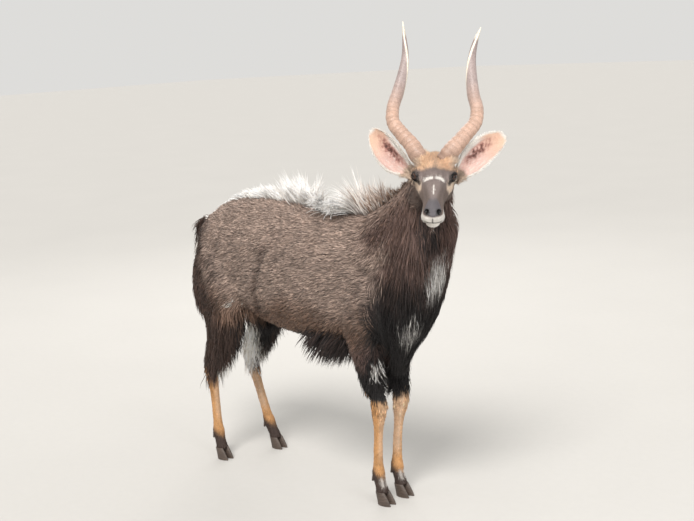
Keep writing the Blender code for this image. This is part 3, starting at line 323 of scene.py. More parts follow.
def eye_frame(side):
    """The eye's own frame: out of the socket, along the slit of the lids, and up."""
    turn = head_matrix().to_3x3()
    out = (turn @ Vector((0.52, 0.72 * side, 0.40))).normalized()
    return frame_along(head_point(EYE_PLACE, side), out, turn @ Vector((-0.80, 0.50 * side, 0.20)))


def lid_outline(count=48):
    """The almond outline of the lids' opening in the eye's frame: along the slit, then up."""
    turn = np.linspace(0.0, 2 * math.pi, count, endpoint=False)
    along, above = np.cos(turn), np.sin(turn)
    rise = np.where(above > 0, SLIT_RISE, SLIT_DROP) * np.sign(above) * np.abs(above) ** LID_ARCH
    return np.stack([SLIT_SHIFT + SLIT_HALF * along, rise + 0.0012 * along], axis=1)


def lid_distance(points, side):
    """How far each point lies from the opening of the lids: 1 on its edge, less inside it."""
    q = local(eye_frame(side), points)
    rise = np.where(q[:, 2] > 0, SLIT_RISE, SLIT_DROP)
    found = np.sqrt(((q[:, 1] - SLIT_SHIFT) / SLIT_HALF) ** 2 + (q[:, 2] / rise) ** 2)
    return np.where((q[:, 0] > 0.004) & (np.linalg.norm(q, axis=1) < 0.034), found, 9.0)


def ear_frame(side):
    """The ear's own frame, with X from root to tip, its length, and which way along Z it opens."""
    level = Matrix.Rotation(HEAD_TURN, 3, "Z")
    root, tip = (level @ Vector(mirrored(place, side)) for place in EARS[side][:2])
    axis = tip - root
    face = level @ Vector((1.0, 0.22 * side, 0.10))
    place = frame_along(LEVEL_ORIGIN + root, axis, face.cross(axis))
    facing = 1 if (place.to_3x3() @ Vector((0, 0, 1))).dot(face) > 0 else -1
    return place, axis.length, facing


# Where the packed model's origin lies in the frame that the tables are written in
SHIFT = sum(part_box("eye_left"), Vector()) / 2 - head_point(EYE_PLACE)


# Helpers for making meshes


def clear_selection():
    if bpy.context.mode != "OBJECT":
        bpy.ops.object.mode_set(mode="OBJECT")
    bpy.ops.object.select_all(action="DESELECT")


def choose(made):
    """Makes one object the only selected and the active one."""
    clear_selection()
    made.select_set(True)
    bpy.context.view_layer.objects.active = made


def apply_all(made):
    """Applies an object's modifiers in their order."""
    choose(made)
    for name in [modifier.name for modifier in made.modifiers]:
        bpy.ops.object.modifier_apply(modifier=name)
    return made


def new_object(name, points, faces):
    mesh = bpy.data.meshes.new(name)
    mesh.from_pydata([tuple(p) for p in points], [], faces)
    made = bpy.data.objects.new(name, mesh)
    bpy.context.scene.collection.objects.link(made)
    return made


def point_outwards(made):
    shape = bmesh.new()
    shape.from_mesh(made.data)
    bmesh.ops.recalc_face_normals(shape, faces=shape.faces)
    shape.to_mesh(made.data)
    shape.free()


def tube(name, rings):
    """A closed tube through rings of equally many points."""
    count, sides = len(rings), len(rings[0])
    faces = [tuple(range(sides))[::-1]]
    for ring in range(count - 1):
        for side in range(sides):
            after = (side + 1) % sides
            low, high = ring * sides, (ring + 1) * sides
            faces.append((low + side, low + after, high + after, high + side))
    faces.append(tuple(range((count - 1) * sides, count * sides)))
    made = new_object(name, np.concatenate(rings), faces)
    point_outwards(made)
    return made


def smooth_rows(rows, count):
    """Rows of numbers read at even steps along a smooth curve through them."""
    rows = np.array(rows, float)
    steps = np.linalg.norm(np.diff(rows[:, :3], axis=0), axis=1)
    at = np.concatenate([[0.0], np.cumsum(steps)])
    slopes = np.gradient(rows, at, axis=0)
    where = np.linspace(0.0, at[-1], count)
    low = np.clip(np.searchsorted(at, where, side="right") - 1, 0, len(at) - 2)
    span = (at[low + 1] - at[low])[:, None]
    t = (where - at[low])[:, None] / span
    near = (2 * t**3 - 3 * t**2 + 1) * rows[low] + (t**3 - 2 * t**2 + t) * span * slopes[low]
    far = (3 * t**2 - 2 * t**3) * rows[low + 1] + (t**3 - t**2) * span * slopes[low + 1]
    return near + far


def loft(name, rows, up, sides=36, count=90, square=2.0):
    """A closed tube through rows of centre, half width, reach along up and reach against it."""
    rows = smooth_rows(rows, count)
    line = np.gradient(rows[:, :3], axis=0)
    line /= np.linalg.norm(line, axis=1)[:, None]
    side = np.cross(np.array(up, float), line)
    side /= np.linalg.norm(side, axis=1)[:, None]
    rise = np.cross(line, side)
    angles = np.linspace(0.0, 2 * math.pi, sides, endpoint=False)
    across = np.sign(np.cos(angles)) * np.abs(np.cos(angles)) ** (2 / square)
    along = np.sign(np.sin(angles)) * np.abs(np.sin(angles)) ** (2 / square)
    rings = []
    for k, (centre, reach) in enumerate(zip(rows[:, :3], rows[:, 3:6])):
        rises = np.where(along > 0, reach[1], reach[2])
        rings.append(centre + np.outer(across * reach[0], side[k]) + np.outer(along * rises, rise[k]))
    return tube(name, rings)


def ball(name, place, radii, matrix, segments=32):
    """An ellipsoid at a place in a frame."""
    clear_selection()
    bpy.ops.mesh.primitive_uv_sphere_add(segments=segments, ring_count=segments // 2, radius=1.0)
    made = bpy.context.object
    made.name = name
    made.data.transform(matrix @ Matrix.Translation(place) @ Matrix.Diagonal((*radii, 1.0)))
    return made


def points_of(mesh):
    points = np.empty(len(mesh.vertices) * 3)
    mesh.vertices.foreach_get("co", points)
    return points.reshape(-1, 3)


def normals_of(mesh):
    normals = np.empty(len(mesh.vertices) * 3)
    mesh.vertices.foreach_get("normal", normals)
    return normals.reshape(-1, 3)


def set_points(mesh, points):
    mesh.vertices.foreach_set("co", np.ascontiguousarray(points).ravel())
    mesh.update()


def one_surface(name, pieces, voxel):
    """Overlapping closed pieces joined and remeshed as one surface of small even faces."""
    clear_selection()
    for piece in pieces:
        piece.select_set(True)
    bpy.context.view_layer.objects.active = pieces[0]
    bpy.ops.object.join()
    made = bpy.context.object
    made.name = name
    grain = made.modifiers.new("one surface", "REMESH")
    grain.mode = "VOXEL"
    grain.voxel_size = voxel
    return apply_all(made)


def relax(made, rounds, weight=None):
    """Smooths a mesh by moving each point towards its neighbours' middle."""
    mesh = made.data
    points = points_of(mesh)
    edges = np.empty(len(mesh.edges) * 2, int)
    mesh.edges.foreach_get("vertices", edges)
    edges = edges.reshape(-1, 2)
    ends = np.concatenate([edges[:, 0], edges[:, 1]])
    others = np.concatenate([edges[:, 1], edges[:, 0]])
    degree = np.maximum(np.bincount(ends, minlength=len(points)), 1)[:, None]
    share = 0.5 if weight is None else 0.5 * weight(points)[:, None]
    for _ in range(rounds):
        sums = [np.bincount(ends, points[others, axis], minlength=len(points)) for axis in range(3)]
        points = points + share * (np.stack(sums, axis=1) / degree - points)
    set_points(mesh, points)


def boolean(made, other, operation):
    """Joins, cuts or intersects one closed mesh with another, which is used up."""
    cut = made.modifiers.new(operation.lower(), "BOOLEAN")
    cut.operation = operation
    cut.solver = "MANIFOLD"
    cut.object = other
    apply_all(made)
    bpy.data.objects.remove(other)
    return made


def cut_off(made, point, away):
    """Bisects a closed mesh, drops what lies beyond the plane and closes the cut."""
    choose(made)
    bpy.ops.object.mode_set(mode="EDIT")
    bpy.ops.mesh.select_all(action="SELECT")
    bpy.ops.mesh.bisect(plane_co=point, plane_no=away, use_fill=True, clear_outer=True)
    bpy.ops.object.mode_set(mode="OBJECT")
    return made


def settle(made, slot, *nodes):
    """Moves a finished mesh to the model's origin and says what it stands for."""
    made.data.transform(Matrix.Translation(SHIFT))
    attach(made, "root")
    if nodes:
        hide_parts(*nodes)
    return made


# Where things are on the animal


def smooth(low, high, value):
    """0 up to the low value and 1 from the high one, eased between."""
    t = np.clip((value - low) / (high - low), 0.0, 1.0)
    return t * t * (3 - 2 * t)


def fade(low, high, value):
    """1 up to the low value and 0 from the high one, eased between."""
    return 1 - smooth(low, high, value)


def graph(value, *points):
    """A line graph through points, read at a value."""
    return np.interp(value, *zip(*points))


def local(matrix, points):
    """Points in a frame's own coordinates."""
    turn = np.array(matrix.inverted())
    return points @ turn[:3, :3].T + turn[:3, 3]


def spun(matrix, directions):
    return directions @ np.array(matrix.to_3x3())


def unit(vectors):
    return vectors / np.maximum(np.linalg.norm(vectors, axis=1), 1e-9)[:, None]


def ripple(points, size, seed, octaves=3):
    """A smooth noise of mean 0 whose swells are about this size."""
    rng = np.random.default_rng(seed)
    total = np.zeros(len(points))
    for octave in range(octaves):
        for _ in range(5):
            wave = unit(rng.normal(size=(1, 3)))[0] * (2 * math.pi / size) * 2**octave * rng.uniform(0.7, 1.3)
            total += np.sin(points @ wave + rng.uniform(0, 2 * math.pi)) * 0.32 / 2**octave
    return total


def ear_places(points, normals):
    """For each ear: which points are on it, their places along and across it, which are inside, its frame."""
    found = []
    for side, _ in SIDES:
        place, length, facing = ear_frame(side)
        q = local(place, points)
        n = spun(place, normals)
        share = q[:, 0] / length
        width = EARS[side][2] * graph(share, *EAR_WIDTHS)
        curl = np.radians(EAR_CURL[0] - EAR_CURL[1] * np.clip(share * 1.5, 0, 1))
        radius = width / np.sin(np.minimum(curl, math.pi / 2))
        lean = EAR_LEAN * np.sin(math.pi * np.clip(share, 0, 1))
        centre = np.stack([0 * share, lean, facing * radius], axis=1)
        spoke = centre - q
        spoke[:, 0] = 0
        near = np.abs(np.linalg.norm(spoke[:, 1:], axis=1) - radius)
        mask = (share > 0.16) & (share < 1.04) & (near < 0.012) & (np.abs(q[:, 1]) < 0.062)
        inner = (spoke * n).sum(axis=1) > 0
        inwards = side * (q[:, 1] - centre[:, 1]) / np.maximum(width, 0.004)
        found.append((mask, share, inwards, inner, place))
    return found


def head_share(points):
    """1 on the head and 0 on the neck, eased where they meet, and the points in the head's frame."""
    away = (points - np.array(head_point(HEAD_CUT_PLACE))) @ np.array(cut_direction())
    h = local(head_matrix(), points)
    throat = smooth(-0.125, -0.095, h[:, 2])
    return smooth(-0.012, 0.022, away) * throat, h


def neck_share(points):
    """1 on the neck and 0 on the trunk."""
    return smooth(-0.06, 0.07, (points - np.array([0.455, 0.0, 0.905])) @ np.array([0.8, 0.0, 0.6]))


def blob(points, centre, radii):
    """A soft spot: 1 at its centre and 0 outside its radii."""
    away = np.linalg.norm((points - np.array(centre)) / np.array(radii), axis=1)
    return fade(0.75, 1.1, away)


def lay(base, colour, share):
    return base + (colour - base) * share[:, None]


def layered(base, *layers):
    """A base with colours laid over it in turn, each with its share."""
    for colour, share in layers:
        base = lay(base, colour, share)
    return base


def face_rim(h):
    """Distance from the nearer eye's opening, for points in the head's frame."""
    points = h @ np.array(head_matrix().to_3x3()).T + np.array(SKULL_BACK)
    return np.minimum(lid_distance(points, 1), lid_distance(points, -1))


def face_markings(h, tone):
    """Colours of the head by place in its own frame."""
    along, out, up = h[:, 0], np.abs(h[:, 1]), h[:, 2]
    place = np.stack([along, out, up], axis=1)
    wobble = ripple(h, 0.03, 5) * 0.004
    crown = smooth(-0.02, 0.012, up + wobble * 2) * fade(0.098, 0.118, along + wobble)
    temple = smooth(-0.06, -0.025, up) * fade(0.07, 0.10, along) * smooth(0.035, 0.055, out)
    brow = smooth(0.098, 0.116, along + wobble) * smooth(0.02, 0.035, up)
    stripe = np.exp(-((out / 0.006) ** 2)) * fade(0.10, 0.12, along) * smooth(0.05, 0.08, along)
    bridge = smooth(0.12, 0.16, along) * smooth(-0.004, 0.008, up - (0.030 - 0.1 * (along - 0.15)))
    bridge_side = bridge * smooth(0.012, 0.026, out + 0.25 * (along - 0.2)) * smooth(0.15, 0.18, along)
    under_eye = blob(place, (0.140, 0.054, 0.008), (0.038, 0.026, 0.028))
    muzzle_side = blob(place, (0.20, 0.04, 0.0), (0.045, 0.02, 0.022))
    arch = along - 0.10 * out + wobble * 0.4
    bar = smooth(0.1400, 0.1430, arch) * fade(0.1525, 0.1560, arch)
    bar *= smooth(0.002, 0.005, out) * fade(0.030, 0.036, out) * smooth(0.01, 0.02, up)
    line = smooth(0.176, 0.182, along) * fade(0.216, 0.226, along) * fade(0.0012, 0.0030, out)
    lips = smooth(0.238, 0.256, along - 0.35 * np.abs(up + 0.0265)) * fade(0.006, 0.012, up)
    lips = lips * smooth(-0.0455, -0.0405, up)
    # Dark lines along the mouth and down the cleft of the upper lip: painted shade in these creases
    seam = np.exp(-(((up - graph(along, *MOUTH)) / 0.0030) ** 2)) * smooth(0.19, 0.21, along)
    cleft = np.exp(-((out / 0.0017) ** 2)) * smooth(0.27, 0.29, along) * (up < 0.006)
    cleft = cleft * smooth(-0.016, -0.013, up)
    lip_side = smooth(0.228, 0.250, along) * smooth(0.024, 0.030, out) * fade(-0.004, 0.004, up)
    beard = fade(-0.062, -0.048, up) * smooth(0.10, 0.18, along) * fade(0.245, 0.27, along)
    tear = blob(place, (0.137, 0.048, 0.024), (0.016, 0.010, 0.010))
    above_eye = blob(place, (0.098, 0.062, 0.042), (0.020, 0.010, 0.008))
    return layered(
        np.tile(tone.cheek, (len(h), 1)),
        (tone.forehead, crown),
        (tone.cream * 0.75, temple * 0.9),
        (tone.slate * 1.15, brow),
        (tone.slate, stripe * 0.55),
        (tone.slate, bridge),
        (tone.cheek * 0.62, bridge_side * 0.85),
        (tone.cream, under_eye),
        (tone.cheek * 0.8, muzzle_side * 0.8),
        (tone.white, bar),
        (tone.white * 0.9, line * (up > 0)),
        (tone.white, lips),
        # Painted shade of the mouth line and the lip's cleft
        (tone.dark * 0.5, np.clip(seam * 1.1 + cleft, 0, 1)),
        (tone.white, lip_side * 0.7),
        (tone.dark, beard),
        (tone.dark * 0.6, fade(1.20, 1.62, face_rim(h))),
        (tone.dark * 0.7, tear * 0.9),
        (tone.dark, above_eye * 0.7),
    )


def nose_share(h):
    """1 on the bare nose pad."""
    along, out, up = h[:, 0], np.abs(h[:, 1]), h[:, 2]
    low = 0.010 + 0.10 * out
    edge = out - graph(along, (0.23, 0.008), (0.245, 0.016), (0.275, 0.027))
    return smooth(0.222, 0.256, along) * smooth(low - 0.002, low + 0.002, up) * fade(-0.0015, 0.0015, edge)


def nostril_shade(h):
    """1 inside the nostrils."""
    q = np.stack([h[:, 0], np.abs(h[:, 1]), h[:, 2]], axis=1) - np.array(NOSTRIL_PLACE)
    return fade(0.85, 1.10, np.linalg.norm(q / np.array([0.016, 0.0100, 0.0072]), axis=1))


NARROW = np.array([1.0, 1.0, 0.18])
# Where the mane and its wisps begin, at height 0.9
MANE_START = 0.495
WISPS_START = 0.535
HAUNCH_SPOTS = ((-0.257, 0.148, 0.686), (-0.225, 0.125, 0.671))
# Furrows on the flanks, sunk into the skin and darkened with painted shade: place at height 0.8, slope,
# width, lowest, highest, strength
FOLDS = (
    (-0.070, 0.35, 0.014, 0.61, 0.96, 0.90), (0.440, 0.10, 0.010, 0.74, 1.00, 0.60),
    (0.395, -0.15, 0.014, 0.60, 0.80, 0.45), (-0.325, -0.05, 0.013, 0.66, 0.94, 0.60),
    (0.03, 0.05, 0.016, 0.86, 1.02, 0.40), (-0.20, 0.0, 0.016, 0.88, 1.00, 0.40),
    (0.22, 0.10, 0.018, 0.62, 0.76, 0.30),
)
FOLD_END = 0.06


def furrows(points):
    """How deep each point lies in a furrow of the flank, from 0 to 1."""
    x, _, z = points.T
    found = np.zeros(len(points))
    bend = ripple(points, 0.09, 12) * 0.012
    for at, slope, reach, low, high, depth in FOLDS:
        shape = np.exp(-(((x - at + bend - (z - 0.8) * slope) / reach) ** 2))
        shape = shape * depth * smooth(low, low + FOLD_END, z)
        found = np.maximum(found, shape * fade(high - FOLD_END, high, z))
    return found


def mane_border(points, start=MANE_START):
    """How far each point lies ahead of the slanted line where the mane begins."""
    return points[:, 0] - (start + 0.20 * (points[:, 2] - 0.9))


def strand_noise(points, size, seed):
    """A noise drawn out along the hanging hair."""
    return ripple(points * NARROW, size, seed)


def mane_colours(p, tone, fine):
    """Brown above and near black below, paler on the nape, with warmer strands."""
    z = p[:, 2]
    nape = smooth(0.03, 0.09, (p - np.array([0.545, 0.010, 1.03])) @ np.array([-0.62, 0.0, 0.78]))
    strands = smooth(0.2, 0.7, strand_noise(p, 0.03, 14))
    return layered(
        np.tile(tone.mane, (len(p), 1)),
        (tone.dark, fade(0.72, 0.98, z + fine * 0.05)),
        (tone.flank * 1.25, nape * 0.7),
        (tone.warm * 1.2, strands * 0.35 * smooth(0.72, 0.95, z)),
    )


def trunk_markings(p, tone, wide, fine):
    """Colours of the trunk, thighs, forearms, belly and neck."""
    x, _, z = p.T
    back = smooth(-0.36, -0.47, x - (0.9 - z) * 0.42 + fine * 0.02)
    hind, fore = smooth(-0.20, -0.26, x), smooth(0.28, 0.34, x)
    belly = fade(0.590, 0.625, z) * (x > 0.06) * (x < 0.31)
    belly = np.maximum(belly, fade(0.580, 0.605, z) * (x > -0.24) * (x < 0.31))
    chest = smooth(-0.015, 0.03, mane_border(p) + fine * 0.012) * (z > 0.50)
    neck = np.maximum(neck_share(p) * smooth(0.90, 1.00, z), chest)
    patch = blob(p, (0.705, 0.012, 0.830), (0.085, 0.056, 0.095))
    streak = blob(p, (0.585, -0.045, 0.655), (0.045, 0.036, 0.07))
    return layered(
        np.tile(tone.flank, (len(p), 1)),
        # Lighter high on the body: painted light falling on the back and upper flanks
        (tone.flank * 1.22, smooth(0.86, 1.02, z + wide * 0.03) * 0.8),
        (tone.warm, fade(0.62, 0.78, z + wide * 0.05) * 0.9),
        # Painted shade in the furrows of the flanks
        (tone.thigh * 0.8, furrows(p)),
        (tone.thigh, back * fade(0.97, 1.04, z)),
        (tone.thigh * 0.8, fade(0.52, 0.66, z + fine * 0.02) * hind),
        (tone.mane, fade(0.56, 0.66, z + fine * 0.02) * fore),
        (tone.dark, fade(0.48, 0.545, z + fine * 0.015) * fore),
        (tone.dark * 1.3, belly),
        (mane_colours(p, tone, fine), neck),
        (tone.silver * 0.85, patch * smooth(-0.6, 0.1, strand_noise(p, 0.014, 18)) * neck),
        (tone.silver * 0.7, streak * smooth(-0.1, 0.4, strand_noise(p, 0.012, 15)) * 0.9),
    )


def leg_markings(colour, p, normals, tone, fine):
    """White patches of the legs, and the tan, pale and dark of the lower legs, over a colour."""
    x, y, z = p.T
    slant = x - 0.10 * (z - 0.5)
    for side, _ in SIDES:
        for place in HAUNCH_SPOTS:
            spot = blob(p, (place[0], place[1] * side, place[2]), (0.008, 0.05, 0.0065))
            colour = lay(colour, tone.white, spot * 0.9)
        inner = smooth(0.15, 0.45, -normals[:, 1] * side) * (y * side > 0)
        thigh_in = inner * smooth(0.33, 0.37, z) * fade(0.60, 0.66, z) * smooth(-0.20, -0.26, x)
        thigh_in = thigh_in * smooth(-0.50, -0.46, slant)
        knee = blob(p, (0.455, 0.080 * side, 0.505), (0.032, 0.026, 0.026))
        knee = knee * smooth(-0.8, 0.0, strand_noise(p, 0.012, 17))
        hock = blob(p, (-0.400, 0.095 * side, 0.300), (0.060, 0.050, 0.070))
        colour = layered(
            colour,
            (tone.dark, thigh_in),
            (tone.white * 1.05, thigh_in * fade(-0.375, -0.345, slant + fine * 0.008)),
            (tone.silver * 0.9, knee * (0.9 if side < 0 else 0.3)),
            (tone.white * 0.9, hock * np.clip(inner * 1.5, 0, 1) * (side > 0)),
        )
    low_fore = fade(0.372, 0.400, z + fine * 0.01) * (x > 0)
    low_hind = fade(0.30, 0.34, z + fine * 0.012 - np.where(y < 0, 0.045, 0.0)) * (x < 0)
    low = np.maximum(low_fore, low_hind)
    shin = smooth(0.14, 0.2, z)
    flecks = smooth(0.1, 0.8, ripple(p * np.array([1.0, 1.0, 0.35]), 0.018, 19))
    knee_edge = low * smooth(0.30, 0.34, z) * (x > 0)
    knee_edge = knee_edge * smooth(0.3, 0.8, -normals[:, 0] + 0.3 * np.sin(z * 200))
    inner = [smooth(0.2, 0.7, -normals[:, 1] * side) * (y * side > 0) for side, _ in SIDES]
    fetlock = fade(0.100, 0.145, z + fine * 0.008 + 0.02 * normals[:, 0])
    spots = np.exp(-(((np.abs(np.abs(y) - 0.050) - 0.009) / 0.0055) ** 2))
    spots = spots * smooth(0.2, 0.6, normals[:, 0]) * smooth(0.058, 0.070, z)
    spots = spots * fade(0.092, 0.108, z) * (x > 0)
    return layered(
        colour,
        (tone.tan * 0.95, low),
        (tone.tan * 0.55, flecks * low * 0.45),
        (tone.cream, low * smooth(0.3, 0.9, normals[:, 0]) * shin * 0.28),
        (tone.thigh, knee_edge * 0.6),
        (tone.cream, inner[0] * low * shin * 0.4),
        (tone.cream, inner[1] * low * shin * 0.4),
        (tone.thigh * 0.85, fetlock * low),
        (tone.white, spots * 0.55),
    )


def ear_markings(p, tone, share, across, inner, fine):
    """Colours of an ear: pink inside with pale rays and dark marks, grey-brown outside, and a white edge."""
    edge = smooth(0.80, 0.93, np.abs(across)) + smooth(0.93, 0.99, share)
    edge = np.clip(edge + smooth(0.52, 0.70, across) * fade(0.60, 0.80, share) * inner, 0, 1)
    rays = smooth(0.2, 0.9, np.sin(across * 26.0 + 3.0 * fine))
    rays = rays * smooth(0.10, 0.2, share) * fade(0.40, 0.62, share)
    spot = np.exp(-(((share - 0.56) / 0.25) ** 2) - (((across - 0.22) / 0.36) ** 2))
    marks = spot * (0.85 + 0.8 * ripple(p, 0.014, 16))
    inside = layered(
        np.tile(tone.pink, (len(p), 1)),
        (tone.forehead, smooth(0.45, 0.90, share) * 0.6),
        (tone.white, rays * 0.5),
        (tone.pink * np.array([0.50, 0.22, 0.20]), np.clip(marks * 1.1, 0, 0.75)),
        (tone.thigh * np.array([1.1, 0.55, 0.5]), np.clip(marks * 1.3 - 0.5, 0, 0.9)),
        (tone.white, edge),
    )
    outside = layered(
        np.tile(tone.slate * 1.3, (len(p), 1)),
        (tone.forehead, smooth(0.2, 0.5, share) * 0.4),
        (tone.white, edge * 0.8),
    )
    return np.where(inner[:, None], inside, outside)


def markings(points, normals, jitter=None):
    """The coat's colour at each point, the same for the skin and the hair."""
    tone = tones()
    p = points if jitter is None else points + jitter
    fine = ripple(p, 0.09, 12)
    colour = trunk_markings(p, tone, ripple(p, 0.35, 11), fine)
    colour = leg_markings(colour, p, normals, tone, fine)
    tail = smooth(-0.535, -0.555, p[:, 0])
    head, h = head_share(p)
    # A near black patch under the chin: dark hair there, deepened with painted shade beneath the head
    throat = blob(p, (0.690, -0.030, 1.020), (0.07, 0.050, 0.11))
    colour = layered(
        colour,
        (tone.thigh * 0.9, tail),
        (tone.white * 0.8, tail * smooth(0.2, 0.6, normals[:, 0])),
        (face_markings(h, tone), head),
        (tone.dark, throat * smooth(-0.9, 0.0, strand_noise(p, 0.02, 38)) * 0.9),
    )
    for mask, share, across, inner, _ in ear_places(points, normals):
        colour = lay(colour, ear_markings(p, tone, share, across, inner, fine), mask.astype(float))
    return np.clip(colour * (1 + 0.10 * fine[:, None]), 0.0, 1.0)


# Materials


def node(tree, kind, place, inputs=None, **settings):
    """A shader node, each of its inputs joined to a socket or set to a value."""
    made = tree.nodes.new(kind)
    made.location = place
    for name, value in settings.items():
        setattr(made, name, value)
    for key, value in (inputs or {}).items():
        if isinstance(value, bpy.types.NodeSocket):
            tree.links.new(value, made.inputs[key])
        else:
            made.inputs[key].default_value = value
    return made


def maths(tree, operation, place, *values):
    return node(tree, "ShaderNodeMath", place, dict(enumerate(values)), operation=operation).outputs[0]


def reading(tree, name, place):
    """The values that a mesh stores under a name."""
    return node(tree, "ShaderNodeAttribute", place, attribute_name=name).outputs["Fac"]


def blend(tree, place, share, first, second):
    """One colour turning to another as the share goes from 0 to 1."""
    return node(tree, "ShaderNodeMix", place, {0: share, 6: first, 7: second}, data_type="RGBA").outputs[2]


def colour_ramp(tree, place, value, *stops):
    """A colour read from stops by a value, each stop a place and a colour."""
    made = node(tree, "ShaderNodeValToRGB", place, {"Fac": value})
    band = made.color_ramp
    while len(band.elements) < len(stops):
        band.elements.new(0.5)
    for element, (at, colour) in zip(band.elements, stops):
        element.position = at
        element.color = (*colour, 1)
    return made.outputs["Color"]


def group(name, inputs, outputs):
    """An empty shader node group with named sockets, or the one already made."""
    if name in bpy.data.node_groups:
        return bpy.data.node_groups[name], False
    made = bpy.data.node_groups.new(name, "ShaderNodeTree")
    for label, kind, value in inputs:
        socket = made.interface.new_socket(name=label, in_out="INPUT", socket_type=kind)
        if value is not None:
            socket.default_value = value
    for label, kind in outputs:
        made.interface.new_socket(name=label, in_out="OUTPUT", socket_type=kind)
    return made, True


def mottle_group():
    """Varies a colour in fine flecks and wide clouds over the surface, and gives a height for bump."""
    made, fresh = group(
        "mottle",
        (
            ("Colour", "NodeSocketColor", (0.5, 0.5, 0.5, 1)),
            ("Fleck size", "NodeSocketFloat", 400.0),
            ("Fleck", "NodeSocketFloat", 0.3),
            ("Cloud size", "NodeSocketFloat", 9.0),
            ("Cloud", "NodeSocketFloat", 0.2),
        ),
        (("Colour", "NodeSocketColor"), ("Height", "NodeSocketFloat"), ("Roughness", "NodeSocketFloat")),
    )
    if not fresh:
        return made
    given = node(made, "NodeGroupInput", (-900, 0)).outputs
    place = node(made, "ShaderNodeTexCoord", (-900, -300)).outputs["Object"]
    fleck = node(made, "ShaderNodeTexNoise", (-600, 100), {
        "Vector": place, "Scale": given["Fleck size"], "Detail": 4.0, "Roughness": 0.65,
    }).outputs["Fac"]
    cloud = node(made, "ShaderNodeTexNoise", (-600, -200), {
        "Vector": place, "Scale": given["Cloud size"], "Detail": 3.0,
    }).outputs["Fac"]
    amounts = []
    for noise, label, height in ((fleck, "Fleck", 100), (cloud, "Cloud", -200)):
        centred = maths(made, "SUBTRACT", (-380, height), noise, 0.5)
        amounts.append(maths(made, "MULTIPLY", (-200, height), centred, given[label]))
    both = maths(made, "ADD", (-20, 0), *amounts)
    lift = maths(made, "MULTIPLY_ADD", (140, 0), both, 2.0, 1.0)
    tinted = node(
        made, "ShaderNodeVectorMath", (300, 100), {0: given["Colour"], "Scale": lift}, operation="SCALE"
    ).outputs["Vector"]
    node(made, "NodeGroupOutput", (500, 0), {"Colour": tinted, "Height": fleck, "Roughness": cloud})
    return made


def material(name, colour_from, fleck, cloud, roughness, bump=0.0, **shine):
    """A mottled material whose colour comes from an attribute or a socket, with a bump of the same flecks."""
    made = bpy.data.materials.new(name)
    made.use_nodes = True
    tree = made.node_tree
    if isinstance(colour_from, str):
        colour = node(tree, "ShaderNodeAttribute", (-600, 200), attribute_name=colour_from).outputs["Color"]
    else:
        colour = colour_from(tree)
    mottle = node(tree, "ShaderNodeGroup", (-300, 200), node_tree=mottle_group())
    tree.links.new(colour, mottle.inputs["Colour"])
    for label, (size, amount) in (("Fleck", fleck), ("Cloud", cloud)):
        mottle.inputs[f"{label} size"].default_value = size
        mottle.inputs[label].default_value = amount
    spread = node(tree, "ShaderNodeMapRange", (-100, -100), {
        "Value": mottle.outputs["Roughness"],
        "To Min": max(0.02, roughness - 0.10),
        "To Max": min(1.0, roughness + 0.10),
    })
    shader = tree.nodes["Principled BSDF"]
    tree.links.new(mottle.outputs["Colour"], shader.inputs["Base Color"])
    tree.links.new(spread.outputs["Result"], shader.inputs["Roughness"])
    if bump:
        relief = node(tree, "ShaderNodeBump", (-100, -350), {
            "Height": mottle.outputs["Height"], "Strength": bump, "Distance": 0.001,
        })
        tree.links.new(relief.outputs["Normal"], shader.inputs["Normal"])
    for label, value in shine.items():
        shader.inputs[label.replace("_", " ")].default_value = value
    return made


WET_ROUGHNESS = 0.36


def set_material(made, finish):
    made.data.materials.clear()
    made.data.materials.append(finish)


def finish_once(name, make):
    return bpy.data.materials.get(name) or make()


def hair_finish():
    return finish_once("hair", lambda: material(
        "hair", "coat_colour", (260.0, 0.35), (14.0, 0.22), 0.66, Specular_IOR_Level=0.2,
        Sheen_Weight=0.05, Sheen_Roughness=0.5,
    ))


def paint(mesh, name, colours):
    """Stores colours on a mesh's points for its material."""
    layer = mesh.attributes.new(name, "FLOAT_COLOR", "POINT")
    full = np.ones((len(colours), 4), np.float32)
    full[:, :3] = colours
    layer.data.foreach_set("color", full.ravel())


def measure(mesh, name, values):
    layer = mesh.attributes.new(name, "FLOAT", "POINT")
    layer.data.foreach_set("value", np.asarray(values, np.float32))


# The skin


def leg_rows(rows, side, step):
    """A leg's rows for one side, its foot set forward by step and eased out above."""
    out = []
    for x, y, z, width, front, back in rows:
        share = min(1.0, max(0.0, (STEP_TOP - z) / (STEP_TOP - CORONET_HEIGHT)))
        out.append((x + step * share, y * side, z, width, front, back))
    return out


def body_forms():
    rows = []
    for x, top, bottom, width in TRUNK:
        middle = bottom + 0.48 * (top - bottom)
        rows.append((x, 0.0, middle, width, top - middle, middle - bottom))
    pieces = [
        loft("trunk", rows, (0, 0, 1), sides=48),
        loft("neck_form", NECK, NECK_UP),
        loft("mane_core", MANE_CORE, (1, 0, 0)),
        loft("tail_form", TAIL, (-0.3, 0.0, 1.0)),
    ]
    for side, _ in SIDES:
        for name, leg, step in (("foreleg", FORELEG, 0.0), ("hindleg", HINDLEG, HIND_STEPS[side])):
            pieces.append(loft(name, leg_rows(leg, side, step), (1, 0, 0), count=140))
    return pieces


def head_forms():
    matrix = head_matrix()
    pieces = []
    for name, rows in (("skull", SKULL), ("jaw", JAW)):
        piece = loft(name, [(s, 0.0, w, a, b, c) for s, w, a, b, c in rows], (0, 0, 1), square=2.2)
        piece.data.transform(matrix)
        pieces.append(piece)
    lid = EYE_RADIUS + LID_THICKNESS
    for side, _ in SIDES:
        for name, (place, radii) in HEAD_FORMS.items():
            pieces.append(ball(name, mirrored(place, side), radii, matrix))
        pieces.append(ball("lids", mirrored(EYE_PLACE, side), (lid,) * 3, matrix))
    pieces.append(ball("muzzle_pad", *MUZZLE_PAD, matrix))
    return pieces


